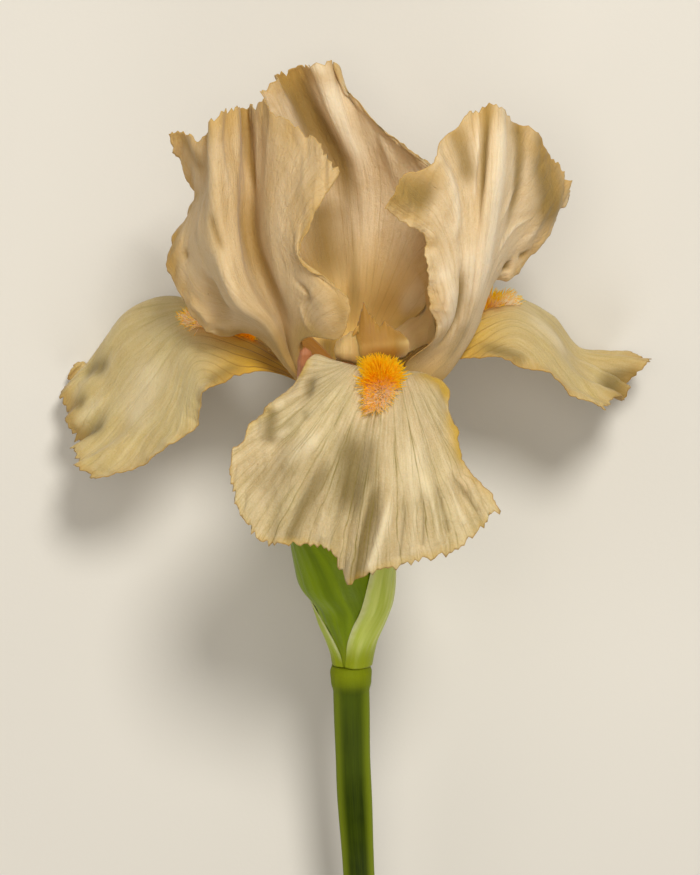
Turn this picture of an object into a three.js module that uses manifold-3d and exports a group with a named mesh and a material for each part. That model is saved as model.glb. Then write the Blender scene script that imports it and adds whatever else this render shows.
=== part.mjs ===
// A tall bearded iris, cut with a length of its stem and lying on a surface, front up.
// Millimetres. The part's frame is +Z up, with the stem along -Y and the bloom towards +Y.
import * as THREE from "three";
import { mergeVertices } from "three/addons/utils/BufferGeometryUtils.js";
import Module from "manifold-3d";

const wasm = await Module();
wasm.setup();

// Driving dimensions.
// Every shape is drawn in the bloom's own frame: x to the right, y up the flower, z to the viewer,
// with the petals' common foot at the origin. Its axis leans to the viewer by AXIS_TILT.
const AXIS_TILT = 14;
// How the flower is turned to lie on the cut end of its stem and the tips of two petals, and moved.
const REST_PITCH = -4.2;
const REST_ROLL = -0.714;
const REST_SHIFT = [-0.83, 86.40, 49.27];

const PETAL_THICKNESS = 0.75;
const BRACT_THICKNESS = 0.8;
const STYLE_THICKNESS = 0.9;
const GAP = 0.35;

const RIM_RADIUS = 6.6;
const FOOT_RADIUS = 5.4;
const FOOT_SPREAD = 25;
const FOOT_HEIGHT = 0.55;
const PETAL_ROWS = 18;
const PETAL_COLUMNS = 14;
const COLUMN_BIAS = 0.35;
const ROW_POWER = 0.85;
// Where the ruffle of a petal's sides starts and is full, and its tip's, as a share of the depth.
const SIDE_RUFFLE_START = 0.4;
const SIDE_RUFFLE_FULL = 0.6;
const TIP_RUFFLE_REACH = 1.6;

const FALL_SIDES = ["front", "left", "right"];
const FALL_AZIMUTHS = [12, -112, 120];

// A path is [across, forward, up] the axis. Radii are [place along the limb, radius].
const TUBE_PATH = [
  [0.9, -0.9, -64],
  [0.6, -0.6, -53],
  [0.1, -0.1, -42],
  [0, 0, -31],
  [0, 0, -20],
  [0, 0, -10],
  [0, 0, 0],
];
const TUBE_RADII = [
  [0, 1.7], [0.16, 1.9], [0.32, 4.2], [0.5, 4.5], [0.66, 3.1], [0.85, 3.6], [1, RIM_RADIUS],
];
const TUBE_LOBES = [[0, 0], [0.3, 0.07], [0.55, 0.07], [0.7, 0.03], [0.9, 0.02], [1, 0]];
const TUBE_RINGS = 18;
const TUBE_SIDES = 12;

const COLUMN_FOOT = 0.4;
const COLUMN_TOP = 9.5;
const COLUMN_RADII = [[0, 2.1], [0.6, 2.2], [1, 2.7]];
const COLUMN_RINGS = 4;
const COLUMN_SIDES = 12;

const STAMEN_PATH = [
  [0, 4, 0.5],
  [0, 5.6, 4.5],
  [0, 8.6, 9],
  [0, 12.2, 13],
  [0, 16, 15.8],
  [0, 19.5, 17.6],
];
const STAMEN_RADII = [[0, 0.65], [0.5, 0.6], [0.6, 1.15], [0.9, 1.05], [1, 0.35]];
const STAMEN_RINGS = 10;
const STAMEN_SIDES = 6;

const BUD_PATH = [
  [-1.3, 1.2, -63.8],
  [-3, 2.8, -52],
  [-6, 4.7, -38],
  [-7.6, 5.7, -22],
  [-9.4, 10.4, -7],
  [-10.6, 15.8, 8],
  [-11.4, 21.5, 23],
];
const BUD_RADII = [
  [0, 0.9], [0.16, 1.2], [0.4, 2.4], [0.7, 2.5], [0.93, 2.2], [0.98, 1.5], [1, 0.5],
];
const BUD_SECTIONS = [0, 0.1, 0.2, 0.3, 0.4, 0.5, 0.6, 0.7, 0.8, 0.88, 0.94, 0.975, 1];
const BUD_SIDES = 8;

// The stations of a bract are [height, shift across, radius, from, to]: at that height it goes
// round the shifted axis from one azimuth to the other.
const BRACTS = {
  bract_inner: [
    [-63.9, 0, 3.6, -178, 80],
    [-60.5, 0, 4.2, -178, 80],
    [-57, -0.2, 5.2, -178, 80],
    [-52, -0.3, 7.4, -178, 80],
    [-48, -0.4, 8.8, -178, 78],
    [-43, -2, 11, -178, 74],
    [-38, -2.7, 11.6, -178, 66],
    [-31, -3.2, 12.2, -176, 44],
    [-24, -3.2, 13.1, -170, -10],
    [-17, -3, 12.6, -158, -74],
    [-8, -2.4, 10.8, -128, -96],
  ],
  bract_left: [
    [-63.9, 0, 5, -184, -32],
    [-61, 0, 5.5, -184, -38],
    [-57, -0.2, 6.7, -184, -48],
    [-53, -0.3, 8.4, -184, -56],
    [-48, -0.4, 10.4, -183, -86],
    [-43, -1.8, 12.8, -180, -112],
    [-38, -2.5, 13.3, -174, -130],
    [-32, -2.8, 13.7, -160, -146],
  ],
  bract_right: [
    [-63.9, 0, 5, -25, 171],
    [-60, 0, 5.7, -18, 171],
    [-57, -0.2, 6.7, -10, 171],
    [-52, -0.3, 8.9, 3, 170],
    [-47.5, -0.5, 10.7, 15, 168],
    [-43.5, -1.2, 12, 23, 165],
    [-38, -2, 13, 32, 160],
    [-31, -2.2, 13.4, 44, 151],
    [-22, -2, 12.6, 60, 138],
    [-12, -1.2, 10.6, 88, 110],
  ],
};
const BRACT_VEINS = 7;
const BRACT_ROWS = 11;
const BRACT_COLUMNS = 10;

const STEM_PATH = [
  [-0.3, -62.4, -15.6],
  [0.35, -90, -22.4],
  [1.75, -117.7, -29.3],
  [3.4, -155, -38.6],
  [4.9, -200, -49.8],
  [5.6, -257, -64],
];
const STEM_RADII = [
  [0, 4.9], [0.012, 5.35], [0.03, 5.2], [0.05, 4.65], [0.2, 4.5], [0.4, 4.1], [1, 4.4],
];
const STEM_SECTIONS = [0, 0.012, 0.03, 0.05, 0.1, 0.2, 0.3, 0.4, 0.5, 0.6, 0.7, 0.8, 0.9, 1];
const STEM_SIDES = 14;

// An arm of the style that points ahead: [across, forward, up] along its guide veins.
const ARM_VEINS = [
  [
    [-1.6, 0.8, 7.4], [-3.4, 5.5, 12], [-5.4, 11, 16],
    [-7.8, 16.5, 19], [-9.2, 19.6, 20.8], [-8.8, 20.8, 22.8],
  ],
  [
    [-1.1, 0.6, 8], [-2.5, 5.2, 13], [-4, 10.8, 17.6],
    [-5.8, 16.6, 21.2], [-6.8, 20.3, 23.6], [-6.2, 21.4, 26.2],
  ],
  [
    [-0.6, 0.5, 8.3], [-1.3, 5, 13.6], [-2, 10.6, 18.6],
    [-2.8, 16.6, 22.4], [-3, 20.4, 26], [-1.8, 20.6, 32.5],
  ],
  [[0, 0.5, 8.5], [0, 5, 13.9], [0, 10.5, 19], [0, 16.6, 22.8], [0.2, 20.6, 25.8], [1.4, 21.6, 28.4]],
  [
    [0.6, 0.5, 8.3], [1.3, 5, 13.6], [2, 10.6, 18.6],
    [2.8, 16.6, 22.4], [3.2, 20.5, 25.6], [4.6, 21.4, 30],
  ],
  [
    [1.1, 0.6, 8], [2.5, 5.2, 13], [4, 10.8, 17.6],
    [5.8, 16.6, 21.2], [6.8, 20.3, 23.6], [6.6, 21.6, 25.8],
  ],
  [[1.6, 0.8, 7.4], [3.4, 5.5, 12], [5.4, 11, 16], [7.8, 16.5, 19], [9.2, 19.6, 20.8], [9, 20.8, 22.6]],
];
// The stigma's lip under the end of the arm.
const LIP_VEINS = [
  [[-7.4, 18, 20.8], [-7.4, 20.6, 20.8], [-7, 22, 20]],
  [[-3.8, 18.4, 22.6], [-3.8, 21.6, 22], [-3.8, 23, 20.4]],
  [[0, 18.6, 23.6], [0, 21.8, 22.8], [0, 23, 21.4]],
  [[3.8, 18.4, 22.6], [3.8, 21.6, 22], [3.8, 23, 20.4]],
  [[7.4, 18, 20.8], [7.4, 20.6, 20.8], [7, 22, 20]],
];

const ARM_ROWS = 9;
const ARM_COLUMNS = 8;
const LIP_ROWS = 3;
const LIP_COLUMNS = 6;

const BEARD_FIRST_ROW = 5;
const BEARD_LAST_ROW = 11;
const BEARD_SIDES = 8;
const BEARD_HALF_WIDTH = 3.3;
const BEARD_HEIGHT = 1.1;
const BEARD_TAPER = [[0, 0.4], [0.3, 0.85], [0.65, 1], [1, 0.45]];
const BEARD_HAIRS = 34;
const HAIR_FAN = 1.35;
const HAIR_RADIUS = 0.5;
const HAIR_SIDES = 3;
const HAIR_LENGTH = [[0, 1.2], [0.4, 4.2], [0.7, 4.8], [1, 3.4]];
const HAIR_LENGTH_SPREAD = 0.15;
const HAIR_LEAN = [-0.1, 0.55];
const HAIR_ROOT_DEPTH = 0.6;
const BEARD_SEED = 11;

const rad = THREE.MathUtils.degToRad;
const { smoothstep, lerp } = THREE.MathUtils;
const v3 = (x, y, z) => new THREE.Vector3(x, y, z);
const AHEAD = v3(0, 0, 1);
const evenly = (steps) => Array.from({ length: steps + 1 }, (_, i) => i / steps);

// A smooth value between [place, value] pairs.
function profile(pairs, t) {
  const next = Math.max(1, pairs.findIndex(([place]) => place >= t));
  const [[from, low], [to, high]] = [pairs[next - 1], pairs[next]];
  return lerp(low, high, smoothstep(t, from, to));
}

// A point given across, forward of and up the flower's axis, in the bloom's frame.
function onAxis(across, forward, up) {
  const tilt = rad(AXIS_TILT);
  return v3(
    across,
    up * Math.cos(tilt) - forward * Math.sin(tilt),
    up * Math.sin(tilt) + forward * Math.cos(tilt),
  );
}

function roundAxis(azimuth, radius, up) {
  return onAxis(radius * Math.sin(rad(azimuth)), radius * Math.cos(rad(azimuth)), up);
}

// The same point after a turn about the flower's axis.
function turned(point, degrees) {
  const tilt = rad(AXIS_TILT);
  const axis = v3(0, Math.cos(tilt), Math.sin(tilt));
  return point.clone().applyAxisAngle(axis, rad(degrees));
}

// A small repeatable source of random numbers from 0 to 1.
function randomFrom(seed) {
  let state = seed;
  return () => {
    state = (state * 1664525 + 1013904223) % 4294967296;
    return state / 4294967296;
  };
}

// Petals. Each is a sheet carried by guide veins, which follow each other round the flower, the
// way azimuth grows. A vein lists the points that it passes after the foot. A fold is [place
// across, half width, height, where it starts along the petal], and a ruffle waves the margins.
const PETALS = {
  standard_left: {
    azimuth: -52,
    veins: [
      [
        [-16, 12.5, 12.5], [-24, 21, 13.5], [-36.5, 22.5, 8],
        [-45.5, 38.5, 6], [-40, 55, 10], [-44.5, 68.5, 24],
      ],
      [
        [-15.8, 13, 13.5], [-22.5, 22, 17], [-33, 28, 14],
        [-40.5, 40.5, 12], [-36.5, 55, 18], [-36, 67.5, 29],
      ],
      [
        [-15.3, 13.4, 14.6], [-20.5, 22, 21], [-28, 30, 26],
        [-32.5, 42, 27], [-33, 55, 30], [-33, 72, 34],
      ],
      [
        [-14.8, 13.8, 14.4], [-18.8, 23, 21], [-25.5, 32.5, 25],
        [-28, 44.5, 25], [-27.5, 57.5, 27], [-28, 74.5, 31],
      ],
      [
        [-14.4, 14.1, 14.2], [-17.4, 24, 18], [-22, 34, 20],
        [-25, 46, 20], [-25, 59.5, 21], [-25, 75.5, 23],
      ],
      [
        [-14, 14.5, 15.4], [-15, 24, 22.5], [-17, 34, 28],
        [-19.5, 46.5, 29], [-20, 60, 30], [-21, 75.5, 31],
      ],
      [
        [-13.3, 16, 17.6], [-10.5, 24.5, 29], [-10.8, 32.5, 34],
        [-15, 42.5, 34], [-14.5, 54.5, 36], [-11.5, 67.5, 40],
      ],
      [
        [-12.6, 19.5, 21.5], [-2.5, 20, 34.5], [-1, 28, 38.5],
        [-12, 38.5, 38], [-9, 48, 41], [-3, 58, 44],
      ],
    ],
    folds: [
      [0.3, 0.05, -0.9, 0.3],
      [0.5, 0.05, 0.9, 0.2],
      [0.72, 0.05, -0.7, 0.3],
    ],
    ruffle: { height: 1.3, waves: 6, depth: 0.16, phase: 0.5, sideWaves: 4, sideDepth: 0.22 },
  },
  standard_right: {
    azimuth: 68,
    veins: [
      [[16.5, 12, 13], [20.5, 20, 22], [18.5, 29, 29], [17.5, 38.5, 33], [14, 45, 37], [8, 49.5, 41]],
      [[17.5, 12, 12], [22.5, 21, 21], [23.5, 29, 28], [22, 40, 31], [19, 48.5, 36], [12, 57, 41]],
      [
        [18.5, 12, 11], [24.5, 21, 17], [26.5, 30.5, 24],
        [26.5, 42, 29], [25, 53.5, 34], [20.5, 65, 38],
      ],
      [
        [19.5, 11.5, 10.5], [26, 20, 15], [28.5, 30.5, 22],
        [29.5, 43, 28], [29.5, 56, 31], [28, 72.5, 33],
      ],
      [
        [20.5, 11, 9.5], [27, 19.5, 13.5], [30.5, 30.5, 21],
        [32.5, 44, 28], [34, 57.5, 32], [34, 75, 33],
      ],
      [[21, 10.5, 8.5], [28.5, 19.5, 11], [32.5, 31.5, 17], [36, 43, 21], [40, 58, 24], [43, 70.5, 24]],
      [
        [21.5, 10, 7.5], [29.5, 20, 8], [34.5, 33, 10],
        [39.5, 41, 11], [47.5, 51, 14], [51.5, 61.5, 14],
      ],
      [[22, 9.5, 6.5], [30, 21, 5], [35, 33.5, 3], [41, 36.5, 4], [48, 44.5, 6], [54.5, 55, 7]],
    ],
    folds: [
      [0.3, 0.05, 0.8, 0.3],
      [0.52, 0.04, -0.9, 0.2],
      [0.75, 0.06, 0.7, 0.4],
    ],
    ruffle: { height: 1.3, waves: 6, depth: 0.16, phase: 1.7, sideWaves: 4, sideDepth: 0.2 },
  },
  standard_back: {
    azimuth: 188,
    veins: [
      [[5, 19, -8], [16, 30, -5], [21, 41, 0], [23, 51.5, 4], [22.5, 59, 5], [19.5, 63.5, 4]],
      [[3.5, 19.5, -10], [11, 33, -11.5], [13.5, 45.5, -9], [13, 58, -6], [8.5, 69, -3], [0, 80.5, 0]],
      [[2, 20, -11], [5.5, 34.5, -15], [6, 49, -14], [4.5, 63.5, -10], [-0.5, 76, -4], [-4.5, 89, 0]],
      [
        [0, 20, -11.5], [1, 34.5, -14.5], [1, 49.5, -14],
        [-1.5, 64.5, -9], [-6, 77.5, -3], [-10.5, 88, 2],
      ],
      [
        [-2, 20, -11], [-3, 34.5, -15], [-4, 50, -15],
        [-6.5, 65, -12], [-11.5, 77.5, -7], [-15.5, 87.5, -2],
      ],
      [
        [-3.5, 19.5, -10], [-8, 33.5, -11], [-10.5, 48.5, -9],
        [-12.5, 63.5, -5], [-16.5, 76.5, -1], [-19.5, 84.5, 3],
      ],
      [[-5, 19, -8], [-12.5, 33, -6], [-17, 47.5, -1], [-19, 61, 2], [-21, 72.5, 4], [-22, 81, 6]],
    ],
    folds: [
      [0.5, 0.05, -0.9, 0.15],
      [0.3, 0.06, 0.6, 0.4],
      [0.72, 0.06, 0.6, 0.4],
    ],
    ruffle: { height: 1.2, waves: 5, depth: 0.14, phase: 0, sideWaves: 4, sideDepth: 0.2 },
  },
  fall_front: {
    azimuth: 12,
    veins: [
      [
        [-3.5, 7, 13.5], [-5.5, 11.5, 22], [-8.8, 15.3, 30.5], [-12.8, 11, 33.5],
        [-19, 3.5, 35.5], [-24.5, -1, 36], [-29.2, -12, 38],
      ],
      [
        [-2.6, 6.6, 13.8], [-4, 11, 22.6], [-6, 14.6, 32], [-9.5, 10.5, 35.5],
        [-15.5, 1, 38], [-21, -9, 38.5], [-26.3, -22.5, 38],
      ],
      [
        [-1.4, 6.3, 14.1], [-2.3, 10.6, 23.1], [-3, 13.6, 33], [-6, 9.3, 37.2],
        [-11.5, -1.5, 40], [-16.5, -14, 40], [-20.3, -30, 38],
      ],
      [
        [-0.2, 6, 14.3], [-0.6, 10.3, 23.5], [0, 12.8, 33.3], [-2.2, 8, 38.5],
        [-6.5, -3, 41.2], [-10, -16, 41], [-12, -29.5, 39.5],
      ],
      [
        [1, 5.8, 14.4], [1.2, 10, 23.8], [3, 12.2, 33.4], [1.8, 7, 39.4],
        [-1.5, -4.5, 42.4], [-4, -18, 41.5], [-5.2, -31, 38.5],
      ],
      [
        [2.2, 5.6, 14.5], [3.2, 9.6, 24], [6, 11.6, 33], [6, 6.5, 39.6],
        [3.2, -5, 42.6], [1, -20, 41], [-1.2, -38.7, 36],
      ],
      [
        [3.4, 5.7, 14.4], [5.2, 9.6, 23.8], [9, 11.2, 32.2], [10.2, 6.8, 38.8],
        [8.5, -4.5, 42.8], [7.5, -19.5, 43], [5, -36, 39.5],
      ],
      [
        [4.6, 5.9, 14.2], [7.2, 9.9, 23.2], [12, 11, 31], [14.2, 7.5, 36.8],
        [14.2, -3.5, 41], [15.3, -17.5, 42.5], [14.5, -34, 40],
      ],
      [
        [5.8, 6.3, 13.9], [9.2, 10.4, 22.2], [15.2, 11, 29.2], [18.5, 8, 34],
        [19.8, -2.5, 37.5], [22.5, -14.5, 40.5], [25.5, -30, 39.5],
      ],
      [
        [7, 6.9, 13.4], [11, 11, 21], [18.2, 10.6, 27.2], [22.3, 6.3, 30.8],
        [24.3, -2.8, 33.2], [27.2, -11, 37.5], [35, -21.5, 41.5],
      ],
    ],
    folds: [
      [0.13, 0.05, -1.3, 0.3],
      [0.3, 0.04, 0.8, 0.5],
      [0.53, 0.035, -1.7, 0.45],
      [0.6, 0.035, 1.3, 0.5],
      [0.72, 0.03, -0.8, 0.5],
      [0.86, 0.04, -0.7, 0.4],
    ],
    ruffle: { height: 0.8, waves: 7, depth: 0.14, phase: 2, sideWaves: 4, sideDepth: 0.14 },
  },
  fall_left: {
    azimuth: -112,
    veins: [
      [
        [-11.5, 13, -9], [-20.5, 19.5, -17.5], [-31.5, 24.5, -26], [-44.5, 27.5, -36],
        [-58, 23, -45], [-69, 15, -47], [-73, 15, -46],
      ],
      [
        [-12.5, 12.5, -6.5], [-22, 20, -13], [-33, 26, -19], [-46, 31, -28],
        [-59, 26.5, -38], [-69, 15, -42], [-76, 9, -42],
      ],
      [
        [-13, 11.5, -4], [-22.5, 19.5, -8], [-33, 25, -12.5], [-45.5, 31.5, -20],
        [-58, 28, -29], [-66.5, 17.5, -35], [-75.5, 4, -35],
      ],
      [
        [-13, 10.5, -2.5], [-22, 18.5, -4.5], [-32.5, 24, -7.5], [-43, 25, -12],
        [-54.5, 17.5, -20], [-64, 6.5, -26], [-73, -3, -29],
      ],
      [
        [-12.5, 9.5, -1.5], [-22, 16.5, 0], [-31.5, 20, -2.5], [-40.5, 19, -6],
        [-49, 11, -12], [-59.5, 1, -19], [-72, -7.5, -24],
      ],
      [
        [-12, 8.5, 0.5], [-21.5, 14, 3.5], [-30, 15.5, 3.5], [-38, 12.5, 1],
        [-44.5, 4.5, -4], [-55, -4.5, -11], [-70, -12, -18],
      ],
      [
        [-11, 8, 2], [-21, 12, 6], [-29, 10.5, 8], [-36.5, 6, 7],
        [-40.5, -2.5, 3], [-51, -10.5, -4], [-65, -15, -12],
      ],
    ],
    folds: [
      [0.35, 0.06, 0.7, 0.5],
      [0.7, 0.06, -0.6, 0.5],
    ],
    ruffle: { height: 1.2, waves: 5, depth: 0.14, phase: 0.3, sideWaves: 4, sideDepth: 0.14 },
  },
  fall_right: {
    azimuth: 120,
    veins: [
      [
        [11, 8, 0], [18.5, 11.5, 3], [29, 15.5, 4], [39, 14.5, 3],
        [47, 12, 1], [54.5, 6.5, -2], [63, 2, -6],
      ],
      [
        [11.5, 9, -1.5], [19.5, 14.5, 0], [30, 19.5, 0.5], [40.5, 19.5, -2],
        [49.5, 16.5, -5], [57, 9.5, -9], [66.5, 5.5, -13],
      ],
      [
        [12, 10, -3], [20.5, 18, -3.5], [30.5, 24.5, -4.5], [41, 25.5, -9],
        [50.5, 21.5, -13], [58.5, 13, -18], [71, 7.5, -21],
      ],
      [
        [12, 11, -4.5], [21, 20.5, -7], [30.5, 27.5, -11], [41, 30, -17],
        [50.5, 25, -23], [58.5, 16, -27], [71.5, 10, -28],
      ],
      [
        [12, 12, -6.5], [21, 22, -11], [30.5, 29, -17], [42, 31.5, -25],
        [52, 27, -31], [60, 18, -35], [78, 15.5, -34],
      ],
      [
        [11.5, 13, -9], [20, 22, -16], [29.5, 28.5, -24], [41, 29.5, -33],
        [51, 25, -40], [60.5, 18.5, -42], [73, 17, -42],
      ],
      [
        [10, 13, -11.5], [18, 20, -21], [27.5, 24.5, -30], [38.5, 24, -40],
        [48.5, 20, -47], [59, 15.5, -48], [68, 15, -47],
      ],
    ],
    folds: [
      [0.3, 0.06, -0.6, 0.5],
      [0.65, 0.06, 0.7, 0.5],
    ],
    ruffle: { height: 1.2, waves: 5, depth: 0.16, phase: 1, sideWaves: 4, sideDepth: 0.14 },
  },
};

// The foot of a petal: points round the rim of the tube.
function petalFoot(azimuth, count) {
  return Array.from({ length: count }, (_, i) => {
    const side = lerp(-1, 1, i / (count - 1));
    return roundAxis(azimuth + FOOT_SPREAD * side, FOOT_RADIUS, FOOT_HEIGHT);
  });
}

// How far the folds and the ruffle lift the petal, u along it and v across it.
function petalRelief(petal, u, v) {
  let lift = 0;
  for (const [place, halfWidth, height, start] of petal.folds) {
    const across = (v - place) / halfWidth;
    lift += height * smoothstep(u, start, 1) * Math.exp(-across * across);
  }
  const r = petal.ruffle;
  const tip = smoothstep(u, 1 - r.depth * TIP_RUFFLE_REACH, 1);
  lift += r.height * tip * Math.sin(2 * Math.PI * (r.waves * v) + r.phase);
  const side = smoothstep(Math.abs(2 * v - 1), 1 - r.sideDepth, 1);
  const along = smoothstep(u, SIDE_RUFFLE_START, SIDE_RUFFLE_FULL) * (1 - tip);
  lift += r.height * side * along * Math.sin(2 * Math.PI * r.sideWaves * u + r.phase);
  return lift;
}

// Points of a sheet on guide veins, row by row from its foot, moved off it by relief(u, v).
function sheetGrid(veins, rows, columns, rowPower, columnBias, relief) {
  const curves = veins.map((points) => new THREE.CatmullRomCurve3(points));
  const grid = [];
  const places = [];
  for (let i = 0; i <= rows; i++) {
    const u = Math.pow(i / rows, rowPower);
    const across = new THREE.CatmullRomCurve3(curves.map((curve) => curve.getPoint(u)));
    const line = [];
    const row = [];
    for (let j = 0; j <= columns; j++) {
      const t = j / columns;
      const v = t - (columnBias * Math.sin(2 * Math.PI * t)) / (2 * Math.PI);
      line.push(across.getPoint(THREE.MathUtils.clamp(v, 0, 1)));
      row.push([u, v]);
    }
    grid.push(line);
    places.push(row);
  }
  const normals = gridNormals(grid);
  return grid.map((line, i) =>
    line.map((p, j) => p.clone().addScaledVector(normals[i][j], relief(...places[i][j]))),
  );
}

function gridNormals(grid) {
  const rows = grid.length - 1;
  const columns = grid[0].length - 1;
  return grid.map((line, i) =>
    line.map((_, j) => {
      const along = grid[Math.min(i + 1, rows)][j].clone().sub(grid[Math.max(i - 1, 0)][j]);
      const across = line[Math.min(j + 1, columns)].clone().sub(line[Math.max(j - 1, 0)]);
      return along.cross(across).normalize();
    }),
  );
}

// A closed thin blade about a grid of points, with the same diagonals on both faces.
function bladeGeometry(grid, thickness) {
  const rows = grid.length - 1;
  const columns = grid[0].length - 1;
  const normals = gridNormals(grid);
  const faces = [0.5, -0.5].map((side) =>
    grid.flatMap((line, i) =>
      line.map((p, j) => p.clone().addScaledVector(normals[i][j], side * thickness)),
    ),
  );
  const count = faces[0].length;
  const at = (i, j, face) => i * (columns + 1) + j + face * count;
  const index = [];
  for (let i = 0; i < rows; i++) {
    for (let j = 0; j < columns; j++) {
      const a = at(i, j, 0);
      const b = at(i, j + 1, 0);
      const c = at(i + 1, j + 1, 0);
      const d = at(i + 1, j, 0);
      index.push(a, c, b, a, d, c);
      index.push(a + count, b + count, c + count, a + count, c + count, d + count);
    }
  }
  const edge = (a, b) => index.push(a, b + count, a + count, a, b, b + count);
  for (let j = 0; j < columns; j++) {
    edge(at(0, j, 0), at(0, j + 1, 0));
    edge(at(rows, j + 1, 0), at(rows, j, 0));
  }
  for (let i = 0; i < rows; i++) {
    edge(at(i + 1, 0, 0), at(i, 0, 0));
    edge(at(i, columns, 0), at(i + 1, columns, 0));
  }
  return meshOf(faces.flat(), index);
}

function meshOf(points, index) {
  const geometry = new THREE.BufferGeometry().setFromPoints(points);
  geometry.setIndex(index);
  geometry.computeVertexNormals();
  return geometry;
}

// A closed round body along a path: places lists where its sections are, from 0 to 1, and
// radius(t, angle) shapes them, with angle 0 on the side of up.
function limbGeometry(path, places, sides, radius, up) {
  const points = [];
  const index = [];
  const steps = places.length - 1;
  for (const t of places) {
    const centre = path.getPoint(t);
    const along = path.getTangent(t);
    const side = along.clone().cross(up).normalize();
    const front = side.clone().cross(along).normalize();
    for (let k = 0; k < sides; k++) {
      const angle = (2 * Math.PI * k) / sides;
      const r = radius(t, angle);
      const p = centre.clone();
      p.addScaledVector(side, r * Math.sin(angle));
      p.addScaledVector(front, r * Math.cos(angle));
      points.push(p);
    }
  }
  points.push(path.getPoint(0), path.getPoint(1));
  closeRings(index, steps, sides, points.length - 2);
  return meshOf(points, index);
}

// Faces between rings of points, and two fans that close the ends on the points first, first + 1.
function closeRings(index, steps, sides, first) {
  for (let k = 0; k < sides; k++) {
    const next = (k + 1) % sides;
    for (let i = 0; i < steps; i++) {
      const a = i * sides + k;
      const b = i * sides + next;
      index.push(a, b + sides, a + sides, a, b, b + sides);
    }
    index.push(first, next, k);
    index.push(first + 1, steps * sides + k, steps * sides + next);
  }
}

// The solid inside a geometry, for joining.
function solidOf(geometry) {
  const bare = geometry.clone();
  bare.deleteAttribute("normal");
  bare.deleteAttribute("uv");
  const merged = mergeVertices(bare, 1e-4);
  return new wasm.Manifold(
    new wasm.Mesh({
      numProp: 3,
      vertProperties: new Float32Array(merged.attributes.position.array),
      triVerts: new Uint32Array(merged.index.array),
    }),
  );
}

function joined(geometries) {
  const solids = geometries.map(solidOf);
  const whole = solids.reduce((sum, solid) => sum.add(solid));
  const mesh = whole.getMesh();
  const geometry = new THREE.BufferGeometry();
  geometry.setAttribute("position", new THREE.BufferAttribute(mesh.vertProperties, 3));
  geometry.setIndex(new THREE.BufferAttribute(mesh.triVerts, 1));
  geometry.computeVertexNormals();
  return geometry;
}

const finish = (color, roughness) =>
  new THREE.MeshStandardMaterial({ color, roughness, metalness: 0, side: THREE.FrontSide });
const finishes = {
  standard: finish(0xe6d2b0, 0.6),
  fall: finish(0xd2bf8e, 0.65),
  beard: finish(0xe89a10, 0.7),
  style: finish(0xd8b468, 0.5),
  stamen: finish(0xe8dcb8, 0.7),
  green: finish(0x566b28, 0.45),
  bract: finish(0x8a9a30, 0.45),
  bud: finish(0xc9866e, 0.5),
  tube: finish(0x8f9a4a, 0.5),
};

const flower = new THREE.Group();
function place(name, geometry, material) {
  const mesh = new THREE.Mesh(geometry, material);
  mesh.name = name;
  flower.add(mesh);
  return mesh;
}

// The six petals.
const sheets = {};
for (const [name, petal] of Object.entries(PETALS)) {
  const feet = petalFoot(petal.azimuth, petal.veins.length);
  const veins = petal.veins.map((vein, i) => [feet[i], ...vein.map((p) => v3(...p))]);
  const relief = (u, v) => petalRelief(petal, u, v);
  const grid = sheetGrid(veins, PETAL_ROWS, PETAL_COLUMNS, ROW_POWER, COLUMN_BIAS, relief);
  sheets[name] = grid;
  const material = name.startsWith("fall") ? finishes.fall : finishes.standard;
  place(name, bladeGeometry(grid, PETAL_THICKNESS), material);
}

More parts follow.
